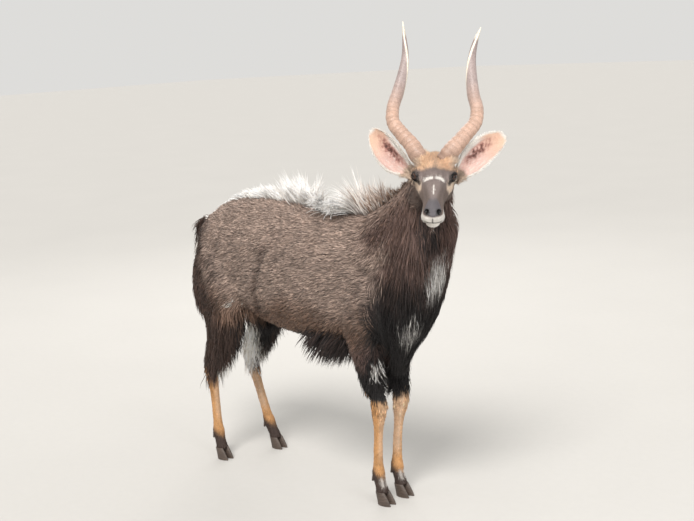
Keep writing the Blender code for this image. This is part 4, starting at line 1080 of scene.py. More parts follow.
def ear_form(side):
    """A cupped leaf, rolled to a tube at its root and open to the front."""
    place, length, facing = ear_frame(side)
    half_width = EARS[side][2]
    along_count, across_count = 48, 25
    points, faces = [], []
    for i in range(along_count):
        t = i / (along_count - 1)
        width = half_width * float(graph(t, *EAR_WIDTHS)) - 0.0006
        curl = math.radians(EAR_CURL[0] - EAR_CURL[1] * min(1.0, t * 1.5))
        radius = width / math.sin(min(curl, math.pi / 2))
        tilt = EAR_LEAN * math.sin(math.pi * t)
        for j in range(across_count):
            u = 2 * j / (across_count - 1) - 1
            lift = radius * (1 - math.cos(u * curl)) * 0.9
            fold = 0.0016 * math.sin(3 * math.pi * u) * math.sin(math.pi * min(1.0, t * 1.2))
            across = radius * math.sin(u * curl) + tilt
            points.append(place @ Vector((length * t, across, facing * (lift + fold))))
    for i in range(along_count - 1):
        for j in range(across_count - 1):
            low = i * across_count + j
            faces.append((low, low + 1, low + across_count + 1, low + across_count))
    ear = new_object("ear_form", points, faces)
    wall = ear.modifiers.new("wall", "SOLIDIFY")
    wall.thickness = EAR_WALL
    wall.offset = 0.0
    apply_all(ear)
    point_outwards(ear)
    return ear


def slit_cutter(side):
    """A plug of the lids' almond outline, a little wider outside."""
    outline = lid_outline()
    rings = []
    for out in (0.004, 0.012, 0.016, 0.019, 0.022, 0.030):
        wide = 1.0 + max(0.0, out - 0.016) * 14.0
        rings.append(np.column_stack([np.full(len(outline), out), outline * wide]))
    made = tube("slit_cutter", rings)
    made.data.transform(eye_frame(side))
    return made


def mouth_cutter():
    """A thin wedge round the front of the muzzle, along the line of the mouth."""
    rows = smooth_rows([(s, 0.0, w) for s, w in MOUTH], 22)
    widths = graph(rows[:, 0], *MOUTH_WIDTHS)
    outer = [(s, a, w) for (s, _, w), a in zip(rows, widths)]
    front = (rows[-1][0] + 0.016, 0.0, rows[-1][2])
    path = outer + [front] + [(s, -a, w) for s, a, w in outer[::-1]]
    middle = np.array([0.215, 0.0, 0.0])
    rings = []
    for k, point in enumerate(np.array(path)):
        inward = (middle - point) * np.array([1.0, 1.0, 0.0])
        inward /= np.linalg.norm(inward)
        if abs(point[1]) > 0.0 and point[0] < 0.275:
            inward = np.array([0.0, -np.sign(point[1]), 0.0])
        edge = min(k, len(path) - 1 - k) / 6.0
        lift = np.array([0.0, 0.0, 0.0010 * min(1.0, 0.25 + edge)])
        outside = point - inward * 0.02
        rings.append(np.array([outside + lift * 4, point + inward * MOUTH_DEPTH, outside - lift * 4]))
    made = tube("mouth_cutter", rings)
    made.data.transform(head_matrix())
    return made


def coat_depth(points):
    """How far the skin lies inside the solids, for the hair to fill."""
    body = graph(points[:, 2], *BODY_COAT_DEPTH)
    head, h = head_share(points)
    face = graph(h[:, 0], *FACE_COAT_DEPTH)
    return (body + FURROW_DEPTH * furrows(points)) * (1 - head) + face * head


def shrink(made):
    """Moves a surface inwards by the coat's depth."""
    points = points_of(made.data)
    set_points(made.data, points - normals_of(made.data) * coat_depth(points)[:, None])


def cut_eye(head, side):
    """Cuts an eye's socket and the opening of its lids."""
    socket = EYE_RADIUS + SOCKET_GAP
    boolean(head, ball("socket", (0, 0, 0), (socket,) * 3, eye_frame(side), 40), "DIFFERENCE")
    boolean(head, slit_cutter(side), "DIFFERENCE")


def cut_nostril(head, side):
    place = Matrix.Translation(head_point(NOSTRIL_PLACE, side)) @ head_matrix().to_3x3().to_4x4()
    place = place @ Matrix.Rotation(NOSTRIL_TILT * side, 4, "X")
    boolean(head, ball("nostril", (0, 0, 0), NOSTRIL_RADII, place, 32), "DIFFERENCE")


def unwrap(made):
    """Smooth shading, triangles, and the map that the bake uses."""
    choose(made)
    bpy.ops.object.shade_smooth()
    bpy.ops.object.mode_set(mode="EDIT")
    bpy.ops.mesh.select_all(action="SELECT")
    bpy.ops.mesh.quads_convert_to_tris()
    bpy.ops.uv.smart_project(angle_limit=math.radians(66.0), island_margin=0.0005)
    bpy.ops.object.mode_set(mode="OBJECT")
    made.data.uv_layers[0].name = "OFBake"


def paint_skin(mesh):
    """Stores the skin's colours, darker than the hair, and where the nose pad is."""
    points, tone = points_of(mesh), tones()
    share, h = head_share(points)
    nose = nose_share(h) * share
    # The nose pad is painted lighter at its top as a sheen, and darker towards the nostrils
    sheen = 1.45 - 0.95 * smooth(0.268, 0.292, h[:, 0]) * smooth(0.004, 0.014, np.abs(h[:, 1]))
    colours = layered(
        markings(points, normals_of(mesh)),
        (tone.nose * sheen[:, None], nose),
        # Near black painted inside the nostrils as the shade in the holes
        (tone.dark * 0.3, nostril_shade(h)),
    )
    # The skin under the hair is painted darker as the coat's shade; the bare nose pad keeps its colour
    paint(mesh, "coat_colour", colours * (0.72 + 0.28 * nose)[:, None])
    measure(mesh, "nose", nose)


def make_skin():
    """One closed skin of trunk, neck, head, legs, tail and ears, with lids, nostrils and mouth."""
    size = sizes()
    body = one_surface("body", body_forms(), size.body_voxel)
    relax(body, 20, lambda p: np.clip((p[:, 2] - 0.30) / 0.25, 0.15, 1.0))
    shrink(body)
    thinner = body.modifiers.new("fewer faces", "DECIMATE")
    thinner.ratio = BODY_FACES_KEPT
    apply_all(body)
    cut_off(body, Vector((0, 0, CORONET_HEIGHT - 0.001)), Vector((0, 0, -1)))
    head = one_surface("skin", head_forms() + [loft("neck_form", NECK, NECK_UP)], size.head_voxel)
    relax(head, 18)
    shrink(head)
    ahead = cut_direction()
    seam = head_point(HEAD_CUT_PLACE)
    cut_off(head, seam - ahead * 0.010, -ahead)
    cut_off(body, seam, ahead)
    for side, _ in SIDES:
        boolean(head, ear_form(side), "UNION")
    boolean(head, body, "UNION")
    middle, normal = np.array(seam), np.array(ahead)
    relax(head, 12, lambda p: np.clip(1 - np.abs((p - middle) @ normal + 0.005) / 0.022, 0, 1))
    for side, _ in SIDES:
        cut_eye(head, side)
        cut_nostril(head, side)
    boolean(head, mouth_cutter(), "DIFFERENCE")
    point_outwards(head)
    unwrap(head)
    paint_skin(head.data)
    set_material(head, skin_finish())
    settle(head, "grey_brown_coat", *FLESH)


def skin_finish():
    """Skin and short hair, with a damp, pebbled nose pad."""
    made = material("skin", "coat_colour", (420.0, 0.5), (12.0, 0.2), 0.75, bump=0.6)
    tree = made.node_tree
    shader = tree.nodes["Principled BSDF"]
    rough = shader.inputs["Roughness"].links[0].from_socket
    relief = shader.inputs["Normal"].links[0].from_node
    height = relief.inputs["Height"].links[0].from_socket
    wet = reading(tree, "nose", (-600, -250))
    place = node(tree, "ShaderNodeTexCoord", (-900, -500)).outputs["Object"]
    pebbles = node(tree, "ShaderNodeTexVoronoi", (-600, -500), {"Vector": place, "Scale": 800.0})
    gloss = node(tree, "ShaderNodeMix", (100, -150), {"Factor": wet, 2: rough, 3: WET_ROUGHNESS})
    tree.links.new(gloss.outputs[0], shader.inputs["Roughness"])
    bumps = node(tree, "ShaderNodeMix", (-200, -500), {
        "Factor": wet, 2: height, 3: pebbles.outputs["Distance"],
    })
    tree.links.new(bumps.outputs[0], relief.inputs["Height"])
    return made


# Hair


class Hide:
    """The finished skin, for placing hair: its triangles, normals, map and a search tree."""

    def __init__(self, made):
        mesh = made.data
        self.points = points_of(mesh) - np.array(SHIFT)
        self.normals = normals_of(mesh)
        mesh.calc_loop_triangles()
        corners = np.empty(len(mesh.loop_triangles) * 3, np.int32)
        mesh.loop_triangles.foreach_get("vertices", corners)
        self.corners = corners.reshape(-1, 3)
        loops = np.empty(len(mesh.loop_triangles) * 3, np.int32)
        mesh.loop_triangles.foreach_get("loops", loops)
        chart = np.empty(len(mesh.loops) * 2, np.float32)
        mesh.uv_layers["OFBake"].data.foreach_get("uv", chart)
        self.chart = chart.reshape(-1, 2)[loops].reshape(-1, 3, 2)
        a, b, c = (self.points[self.corners[:, k]] for k in range(3))
        self.area = np.linalg.norm(np.cross(b - a, c - a), axis=1) / 2
        self.middle = (a + b + c) / 3
        self.facing = unit(self.normals[self.corners].sum(axis=1))
        self.tree = BVHTree.FromPolygons(self.points.tolist(), self.corners.tolist())

    def roots(self, density, seed):
        """Even random places: point, normal and place on the map, at this many to the square metre."""
        rng = np.random.default_rng(seed)
        total = np.cumsum(self.area * density * sizes().density)
        count = int(total[-1])
        at = (np.arange(count) + rng.random(count)) / count * total[-1]
        pick = np.minimum(np.searchsorted(total, at), len(total) - 1)
        u, v = rng.random(count), rng.random(count)
        flip = u + v > 1
        u[flip], v[flip] = 1 - u[flip], 1 - v[flip]
        mix = np.stack([1 - u - v, u, v], axis=1)
        where = (self.points[self.corners[pick]] * mix[:, :, None]).sum(axis=1)
        normal = unit((self.normals[self.corners[pick]] * mix[:, :, None]).sum(axis=1))
        chart = (self.chart[pick] * mix[:, :, None]).sum(axis=1)
        return where, normal, chart, rng

    def above(self, points, clear):
        """Moves points that are under the skin, or too near it, out to a clear height."""
        moved = points.copy()
        for k, point in enumerate(points):
            near, normal, _, _ = self.tree.find_nearest(Vector(point), 0.06)
            if near is None:
                continue
            height = (Vector(point) - near).dot(normal)
            if height < clear[k]:
                moved[k] += np.array(normal) * (clear[k] - height)
        return moved


HIDE = {}


def hide():
    if "skin" not in HIDE:
        HIDE["skin"] = Hide(bpy.data.objects["skin"])
    return HIDE["skin"]


# Width of a tuft from its root to its tip
PROFILE = ((0.0, 0.75), (0.3, 1.0), (0.65, 0.72), (1.0, 0.0))
# Tufts to the square metre
TUFTS = {
    "body": 32800.0, "lower legs": 46000.0, "mane": 42000.0, "wisps": 9000.0, "face": 190000.0,
    "beard": 70000.0, "ears": 90000.0,
}
LASHES = 110
LASH_RADIUS = 0.0202
# Each fringe: name, tufts to the square metre, share of the fringes' length
FRINGES = (
    ("fringe_belly", 26000.0, 1.0), ("fringe_thighs", 16000.0, 0.50), ("fringe_folds", 24000.0, 0.80),
    ("fringe_forelegs", 30000.0, 0.42), ("tail_hair", 130000.0, 0.62),
)
# Fringes take no colour from below this height, where the legs turn tan
TAN_TOP = 0.42
# Where the mane's locks end between the legs, a row like those of its underhair
MANE_POINT = (0.455, 0.0, 0.50, 0.03, 0.02, 0.02)
# Length of the mane's locks by the height that they grow at
MANE_LENGTH = ((0.58, 0.80), (0.66, 1.0), (0.80, 1.0), (1.0, 0.75), (1.12, 0.45), (1.2, 0.25))


def tuft_faces(rings, count):
    """The triangles of many tufts, each a three-sided spike with a base and a tip."""
    pairs = ((0, 1), (1, 2), (2, 0))
    faces = [(0, 1, 2)]
    for k in range(rings - 1):
        low, high = 3 * k, 3 * k + 3
        for i, j in pairs:
            faces += [(low + j, low + i, high + i), (low + j, high + i, high + j)]
    last, tip = 3 * (rings - 1), 3 * rings
    faces += [(last + j, last + i, tip) for i, j in pairs]
    return (np.array(faces)[None] + (tip + 1) * np.arange(count)[:, None, None]).reshape(-1, 3)


def tuft_map(chart, rings):
    """Places on the bake's map: a small patch for each tuft round its root's place."""
    patch = [
        [(j - 1) * 0.0014 * (1 - 0.5 * k / rings), (k / rings - 0.5) * 0.003 + (0.0005 if j == 1 else 0)]
        for k in range(rings) for j in range(3)
    ]
    places = (chart[:, None, :] + np.array(patch + [[0.0, 0.0015]])[None]).reshape(-1, 2)
    return np.clip(places, 0, 1)


def hair_piece(name, points, faces, places, colours):
    """One mesh of tufts with its map, colours and material."""
    mesh = bpy.data.meshes.new(name)
    mesh.vertices.add(len(points))
    mesh.vertices.foreach_set("co", (points + np.array(SHIFT)).astype(np.float32).ravel())
    mesh.loops.add(len(faces) * 3)
    mesh.loops.foreach_set("vertex_index", faces.astype(np.int32).ravel())
    mesh.polygons.add(len(faces))
    mesh.polygons.foreach_set("loop_start", np.arange(0, len(faces) * 3, 3, dtype=np.int32))
    mesh.polygons.foreach_set("use_smooth", np.ones(len(faces), bool))
    layer = mesh.uv_layers.new(name="OFBake")
    layer.data.foreach_set("uv", places[faces.ravel()].astype(np.float32).ravel())
    mesh.update(calc_edges=True)
    paint(mesh, "coat_colour", colours)
    made = bpy.data.objects.new(name, mesh)
    bpy.context.scene.collection.objects.link(made)
    set_material(made, hair_finish())
    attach(made, "root")


def tufts(
    name, roots, way, length, width, lift, rings=2, droop=0.0, wave=0.0, tuck=0.0, clear=None, guide=None,
    root_shade=0.62, tip_light=1.28, flat=0.4, spread=0.16, colour=None, by_place=False, sink=0.002,
    tint=0.16, phase=None, streak=0.0, root_colour=None, floor=0.0,
):
    """Tapered three-sided tufts rooted in the skin, as one mesh with colours and the bake's map."""
    place, normal, chart, rng = roots
    count = len(place)
    if count == 0:
        return
    length = np.broadcast_to(length, count) * rng.uniform(0.72, 1.25, count)
    width = np.broadcast_to(width, count) * rng.uniform(0.75, 1.3, count)
    lift = np.broadcast_to(lift, count) + rng.normal(0.0, 0.07, count)
    way = unit(way - normal * (way * normal).sum(axis=1)[:, None])
    side = unit(np.cross(way, normal))
    way = unit(way + side * rng.normal(0.0, spread, count)[:, None])
    start = unit(way * np.cos(lift)[:, None] + normal * np.sin(lift)[:, None])
    side = unit(np.cross(start, normal))
    twist = rng.normal(0.0, 0.35, count)[:, None]
    rise = np.cross(side, start)
    side, rise = side * np.cos(twist) + rise * np.sin(twist), rise * np.cos(twist) - side * np.sin(twist)
    phase = rng.uniform(0, 2 * math.pi, count) if phase is None else phase + rng.normal(0.0, 0.5, count)
    centres = [place - normal * sink]
    step = (length / rings)[:, None]
    for k in range(rings):
        t = (k + 0.5) / rings
        bend = start + np.array([[0.0, 0.0, -1.0]]) * (droop * t) - normal * (tuck * t)
        if wave:
            bend = bend + side * (np.cos(phase + t * 7.0) * wave)[:, None]
        here = centres[-1] + unit(bend) * step
        if guide is not None:
            here = guide(here)
        if clear is not None:
            here = hide().above(here, np.full(count, clear) + 0.25 * clear * rng.random(count))
        centres.append(here)
    base = markings(place, normal, rng.normal(0.0, 0.004, (count, 3))) if colour is None else colour
    # Random tone of each tuft, plus the painted highlight and shade along the waves that streak brings
    fleck = np.clip(1 + rng.normal(0.0, tint, count) + streak, 0.25, 2.2)
    jitter = rng.normal(0.0, 0.012, (count, 3))
    lowest = [-9.0, -9.0, floor]
    # Each tuft's colour runs from painted shade at its root, deep in the coat, to painted light at its tip
    rows, shades = [], []
    for k, centre in enumerate(centres):
        t = k / rings
        own = markings(np.maximum(centre, lowest), normal, jitter) if by_place else base
        if root_colour is not None and k == 0:
            own = own * 0.45 + root_colour * 0.55
        if k == rings:
            rows.append(centre)
            shades.append(own * (fleck * tip_light)[:, None])
            break
        half = width * float(graph(t, *PROFILE)) / 2
        across = side * half[:, None]
        rows += [centre - across, centre + across, centre + rise * (half * 2 * flat)[:, None]]
        shades += [own * (fleck * (root_shade + (tip_light - root_shade) * min(1.0, t * 1.2)))[:, None]] * 3
    points = np.stack(rows, axis=1).reshape(-1, 3)
    colours = np.clip(np.stack(shades, axis=1).reshape(-1, 3), 0, 1)
    hair_piece(name, points, tuft_faces(rings, count), tuft_map(chart, rings), colours)


def lie_of(points, normals):
    """Which way the hair lies: back and down the body, down the legs, back along the face."""
    x, _, z = points.T
    way = layered(
        np.tile(np.array([-1.0, 0.0, -0.30]), (len(points), 1)),
        (np.array([-0.60, 0.0, -0.70]), fade(0.58, 0.74, z)),
        (np.array([-0.30, 0.0, -0.90]), smooth(-0.22, -0.42, x) * fade(0.75, 1.0, z)),
        (np.array([-0.06, 0.0, -1.0]), fade(0.42, 0.60, z)),
        (np.array([-0.30, 0.0, -0.92]), neck_share(points)),
        (np.array([-0.25, 0.0, -1.0]), smooth(-0.52, -0.56, x)),
    )
    head, h = head_share(points)
    forward, left, up = np.array(head_matrix().to_3x3()).T
    outward = np.outer(np.sign(h[:, 1]) * smooth(0.0, 0.03, np.abs(h[:, 1])), left)
    facing = outward * 0.45 - forward - up * 0.35 * fade(-0.02, 0.03, h[:, 2])[:, None]
    way = way * (1 - head)[:, None] + facing * head[:, None]
    for mask, _, across, _, place in ear_places(points, normals):
        along, over, _ = np.array(place.to_3x3()).T
        way = np.where(mask[:, None], along + np.outer(across, over) * 0.7, way)
    swirl = ripple(points, 0.10, 21) * 0.16
    return way + np.cross(way, normals) * swirl[:, None]


def on_ears(skin):
    """1 where the skin's faces belong to an ear."""
    masks = [found[0] for found in ear_places(skin.middle, skin.facing)]
    return masks[0] | masks[1]


def near_ears(skin):
    """1 on the ears and round their roots."""
    near = np.zeros(len(skin.middle), bool)
    for side, _ in SIDES:
        place, length, _ = ear_frame(side)
        q = local(place, skin.middle)
        near |= (q[:, 0] > 0.012) & (np.linalg.norm(q[:, 1:], axis=1) < 0.065) & (q[:, 0] < length + 0.02)
    return near


def make_body_coat():
    """Short, dense, wavy hair of the trunk, neck, shoulders and upper legs, in eight pieces."""
    skin, size = hide(), sizes()
    x, y, z = skin.middle.T
    head, _ = head_share(skin.middle)
    keep = (1 - head) * smooth(0.30, 0.36, z) * (x > TAIL_START) * ~near_ears(skin)
    keep = keep * (1 - 0.75 * smooth(0.0, 0.05, mane_border(skin.middle)))
    parts = (("quarter", -1.0, -0.27), ("flank", -0.27, 0.08), ("shoulder", 0.08, 0.40), ("neck", 0.40, 1.0))
    for side, word in SIDES:
        for part, low, high in parts:
            where = (y * side >= 0) & (x > low) & (x <= high)
            roots = skin.roots(keep * where * TUFTS["body"], 100 + len(bpy.data.objects))
            place, normal = roots[0], roots[1]
            height = place[:, 2]
            length = graph(height, (0.30, 0.5), (0.45, 0.9), (0.62, 1.15), (0.80, 1.0), (1.1, 0.85))
            length = size.flank_hair * length * (1 + 0.3 * neck_share(place))
            lift = 0.19 + 0.05 * ripple(place, 0.05, 31)
            swell = ripple(place * np.array([0.5, 1.0, 1.6]), 0.045, 32) * 2.5
            # Bands of lighter and darker tufts along the coat's waves: painted highlight and shade on the
            # ripples of the hair
            line = height + 0.012 * ripple(place, 0.11, 35) + 0.0035 * ripple(place, 0.028, 36)
            ripple_shading = np.sin(line * 2 * math.pi / 0.0135) * (0.55 + 0.45 * ripple(place, 0.05, 37))
            tufts(
                f"coat_{word}_{part}", roots, lie_of(place, normal), length, 0.0042, lift, rings=2, tuck=0.04,
                wave=0.30, phase=swell, tint=0.24, root_shade=0.64, tip_light=1.36, streak=0.38 * ripple_shading,
                spread=0.12, sink=0.0012,
            )


def make_leg_coat():
    """Fine, close hair of the lower legs."""
    skin = hide()
    x, _, z = skin.middle.T
    keep = fade(0.30, 0.37, z) * (x > TAIL_START)
    roots = skin.roots(keep * TUFTS["lower legs"], 120)
    place, normal = roots[0], roots[1]
    length = graph(place[:, 2], (0.05, 0.012), (0.10, 0.013), (0.13, 0.011), (0.25, 0.010), (0.37, 0.014))
    tufts(
        "coat_lower_legs", roots, lie_of(place, normal), length * 0.92, 0.0017, 0.15, rings=2, tuck=0.14,
        tint=0.09, root_shade=0.9, tip_light=1.06, sink=0.0004,
    )


def chest_guide(points):
    """Keeps the mane's locks near the chest, so that they gather in a point between the legs."""
    x, y, z = points.T
    rows = [(row[2], row[0], row[3], row[4]) for row in MANE_CORE + (MANE_POINT,)]
    rows = np.array(sorted(rows))
    middle, wide, front = (np.interp(z, rows[:, 0], rows[:, k]) for k in (1, 2, 3))
    room = graph(z, (0.50, 0.022), (0.60, 0.030), (0.70, 0.032), (0.80, 0.026), (0.95, 0.020), (1.10, 0.022))
    room = room + 0.020 * smooth(0.90, 1.02, z) * (y > 0)
    ahead = np.maximum(x - middle, 0.0)
    reach = np.sqrt((ahead / (front + room)) ** 2 + (y / (wide + room)) ** 2)
    loose = 0.22 + 0.30 * np.clip(ripple(points * np.array([1.0, 1.0, 0.3]), 0.02, 42), 0, 1)
    pull = np.where(reach > 1, (1 + loose * (reach - 1)) / np.maximum(reach, 1), 1.0)
    moved = points.copy()
    moved[:, 0] = np.where(x > middle, middle + ahead * pull, x)
    moved[:, 1] = y * pull
    return moved


def make_mane():
    """Long hair of the throat, the sides of the neck and the chest."""
    skin, size = hide(), sizes()
    _, y, z = skin.middle.T
    head, _ = head_share(skin.middle)
    start = smooth(-0.01, 0.03, mane_border(skin.middle) + 0.012 * ripple(skin.middle, 0.06, 41))
    keep = start * (1 - head) * (z > 0.57) * ~near_ears(skin)
    keep = keep * (1 + 1.5 * (z < 0.66) * (np.abs(y) < 0.06))
    for k, (name, where) in enumerate((("mane_left", y >= 0.0), ("mane_right", y < 0.0))):
        roots = skin.roots(keep * where * TUFTS["mane"], 140 + k)
        place = roots[0]
        depth = smooth(0.0, 0.09, mane_border(place))
        length = size.mane_hair * (0.28 + 0.50 * depth)
        length *= graph(place[:, 2], *MANE_LENGTH)
        way = np.stack([-0.10 - 0.25 * (1 - depth), -0.30 * place[:, 1], -1.0 + 0 * depth], axis=1)
        loose = 0.24 + 0.40 * smooth(0.92, 1.04, place[:, 2]) * smooth(0.01, 0.05, place[:, 1])
        tufts(
            name, roots, way, length, 0.0032, loose, rings=4, droop=0.75, tuck=0.05, wave=0.14, clear=0.004,
            guide=chest_guide, by_place=True, spread=0.18, tint=0.24, root_shade=0.6, tip_light=1.35,
        )
    make_wisps()


def make_wisps():
    """Loose single locks that stand off the throat and the front of the neck."""
    skin, size = hide(), sizes()
    z = skin.middle[:, 2]
    head, _ = head_share(skin.middle)
    keep = smooth(0.0, 0.03, mane_border(skin.middle, WISPS_START))
    keep = keep * (1 - head) * (z > 0.80) * (z < 1.10) * ~near_ears(skin)
    roots = skin.roots(keep * TUFTS["wisps"], 150)
    place = roots[0]
    level = 0 * place[:, 0]
    way = np.stack([0.1 + level, 0.2 * np.sign(place[:, 1]), -1.0 + level], axis=1)
    tufts(
        "mane_wisps", roots, way, size.mane_hair * 0.30, 0.0020, 0.50, rings=4, droop=0.9, wave=0.2,
        by_place=True, spread=0.35, tint=0.25, tip_light=1.4,
    )


CREST_LOCKS = 6400
CREST_SPIKES = 110
CREST_START = -0.515
CREST_REACH = 1.125
FALLEN_TIP = (0.262, -0.078, 1.032)
# Along the crest, from the tail at 0 to the neck at 1: steepness, length, lean to the left and forwards,
# paleness and droop
CREST_STAND = (
    (0, 0.10), (0.10, 0.20), (0.19, 0.5), (0.27, 0.9), (0.42, 1.1), (0.48, 1.5), (0.54, 1.4), (0.60, 0.9),
    (0.72, 0.9), (0.76, 1.6), (0.83, 2.6), (0.90, 1.6), (1, 0.8),
)
CREST_LENGTH = (
    (0, 0.28), (0.15, 0.32), (0.25, 0.40), (0.40, 0.52), (0.48, 0.86), (0.56, 0.90), (0.62, 0.8), (0.74, 0.8),
    (0.78, 1.12), (0.82, 0.85), (0.87, 0.60), (0.92, 0.24), (1, 0.14),
)
CREST_LEAN = ((0, 0.0), (0.54, -0.05), (0.60, -0.6), (0.74, -0.6), (0.78, -0.05), (1, 0.0))
CREST_ALONG = (
    (0, -1.0), (0.42, -0.75), (0.52, -0.35), (0.58, 0.0), (0.70, -0.2), (0.76, -0.4), (0.84, 0.0), (1, 0.1),
)
CREST_PALE = ((0, 0.65), (0.06, 0.95), (0.74, 0.90), (0.79, 0.55), (0.84, 0.35), (0.90, 0.15), (1, 0.05))
CREST_DROOP = ((0, 0.6), (0.24, 0.3), (0.50, 0.25), (0.61, 0.8), (0.74, 0.8), (0.80, 0.10), (1, 0.10))


def dropped(skin, x, y):
    """Points on the animal's back under places in X and Y, with their normals and places on the map."""
    hits = [skin.tree.ray_cast(Vector((a, b, 1.6)), Vector((0, 0, -1))) for a, b in zip(x, y)]
    index = np.array([hit[2] for hit in hits])
    normal = unit(skin.normals[skin.corners[index]].sum(axis=1))
    return np.array([hit[0] for hit in hits]), normal, skin.chart[index].mean(axis=1)


def make_crest():
    """The silver crest along the back, standing on the rump and withers and fallen over between."""
    skin, size, tone = hide(), sizes(), tones()
    rng = np.random.default_rng(160)
    count = int(CREST_LOCKS * size.density)
    x = CREST_START + CREST_REACH * (np.arange(count) + rng.random(count)) / count
    share = (x - CREST_START) / CREST_REACH
    offset = rng.normal(0.0, 0.009, count) + 0.016 * np.clip(share - 0.8, 0, 1) / 0.2
    place, normal, chart = dropped(skin, x, offset)
    spikes = CREST_SPIKES
    lock = ((share + rng.normal(0, 0.0025, count)) * spikes).astype(int).clip(0)
    lock = np.minimum(lock, spikes - 1) + spikes * (offset > 0)
    tall = rng.uniform(0.72, 1.25, 2 * spikes)
    tilt = rng.normal(0, 0.30, 2 * spikes)
    tip_side = rng.normal(0, 0.20, 2 * spikes)
    members = np.maximum(np.bincount(lock, minlength=2 * spikes), 1)
    middle_x, middle_y = (np.bincount(lock, values, 2 * spikes) / members for values in (x, offset))
    sparse = smooth(0.75, 0.80, share) * (rng.random(count) < 0.6)
    length = size.crest_hair * graph(share, *CREST_LENGTH) * tall[lock] * (1 - 0.45 * sparse)
    gather = 0.85 / np.maximum(length, 0.02)
    along = graph(share, *CREST_ALONG) + tilt[lock] + (middle_x[lock] - x) * gather
    lean = graph(share, *CREST_LEAN) + tip_side[lock] + (middle_y[lock] - offset) * gather
    way = np.stack([along, lean, 0 * x], axis=1)
    fallen = smooth(0.585, 0.62, share) * fade(0.74, 0.78, share) * (rng.random(count) < 0.85)
    fall = np.array(FALLEN_TIP) - place
    reach = np.linalg.norm(fall, axis=1)
    way = lay(way, fall / reach[:, None] + rng.normal(0, 0.09, (count, 3)), fallen)
    length = length * (1 - fallen) + (0.045 + reach * rng.uniform(0.45, 0.92, count)) * fallen
    tan_share = rng.random(count) * smooth(0.74, 0.8, share) * 0.4
    pale = graph(share, *CREST_PALE) * (1 - 0.55 * sparse) + rng.normal(0, 0.22, count)
    colour = layered(
        np.tile(tone.mane * 0.9, (count, 1)),
        (tone.forehead * 0.8, tan_share),
        (tone.silver, np.clip(pale, 0, 1)),
    )
    tufts(
        "crest", (place, normal, chart, rng), way, length, 0.0032, np.arctan(graph(share, *CREST_STAND)),
        rings=4, droop=graph(share, *CREST_DROOP)[:, None], wave=0.10, clear=0.004, colour=colour,
        spread=0.07, root_shade=1.0, tip_light=1.3, tint=0.10, root_colour=tone.flank,
    )


def fringe_places(skin):
    """Where each fringe grows: 0 where it doesn't, and more where it is denser."""
    x, y, z = skin.middle.T
    nx, ny, nz = skin.facing.T
    belly = smooth(0.11, 0.17, x) * fade(0.30, 0.34, x) * smooth(0.45, 0.8, -nz) * (z < 0.64) * (z > 0.54)
    thigh = smooth(0.1, 0.5, -nx) * (x < -0.30) * smooth(0.42, 0.46, z) * fade(0.70, 0.86, z) * (x > -0.54)
    fold = (x > -0.34) * (x < -0.19) * (z > 0.50) * (z < 0.66) * smooth(-0.1, 0.3, nx - 0.6 * nz)
    shin = smooth(-0.1, 0.4, nx) * (x < -0.22) * smooth(0.36, 0.40, z) * fade(0.56, 0.62, z) * (1 + (y > 0))
    gaskin = (x < -0.2) * smooth(0.45, 0.48, z) * fade(0.50, 0.56, z) * 0.8
    inward = 1 + 1.2 * smooth(0.0, 0.5, -ny * np.sign(y))
    forearm = (x > 0.33) * inward * smooth(0.41, 0.43, z - 0.02 * (y < 0)) * fade(0.54, 0.62, z)
    forearm = forearm * (0.5 + 0.5 * smooth(-0.2, 0.3, -nx))
    tail = (x < TAIL_START) * (z < 0.99) * 1.0
    return belly, np.maximum(thigh, gaskin), np.maximum(fold, shin), forearm, tail


def make_fringes():
    """Dark hair under the belly, down the thighs, before the gaskins, behind the forearms and on the tail."""
    skin = hide()
    for k, (keep, (name, amount, share)) in enumerate(zip(fringe_places(skin), FRINGES)):
        roots = skin.roots(keep * amount, 180 + k)
        place, normal = roots[0], roots[1]
        long = sizes().fringe_hair * share
        way = np.tile(np.array([-0.10, 0.0, -1.0]), (len(place), 1))
        lift, tuck, colour = 0.26, 0.25, None
        if name == "fringe_folds":
            lift = 0.26 + 0.28 * (place[:, 1] < 0)
        if name == "fringe_forelegs":
            lift, tuck = 0.26 + 0.55 * smooth(0.0, 0.6, -normal[:, 1] * np.sign(place[:, 1])), 0.1
        if name == "fringe_belly":
            way, lift, tuck = np.tile(np.array([-1.0, 0.0, -0.3]), (len(place), 1)), 0.8, 0.0
            long = long * graph(place[:, 0], (0.11, 0.45), (0.18, 0.85), (0.24, 0.95), (0.32, 0.7))
            dark = np.tile(tones().dark * 1.15, (len(place), 1))
            colour = lay(dark, tones().mane * 0.8, roots[3].random(len(place)) ** 2 * 0.6)
        tufts(
            name, roots, way, long, 0.0034, lift, rings=4, droop=0.9, tuck=tuck, wave=0.22, clear=0.003,
            by_place=colour is None, colour=colour, spread=0.28, tint=0.2, root_shade=0.8, tip_light=1.35,
            floor=0.0 if name == "tail_hair" else TAN_TOP,
        )


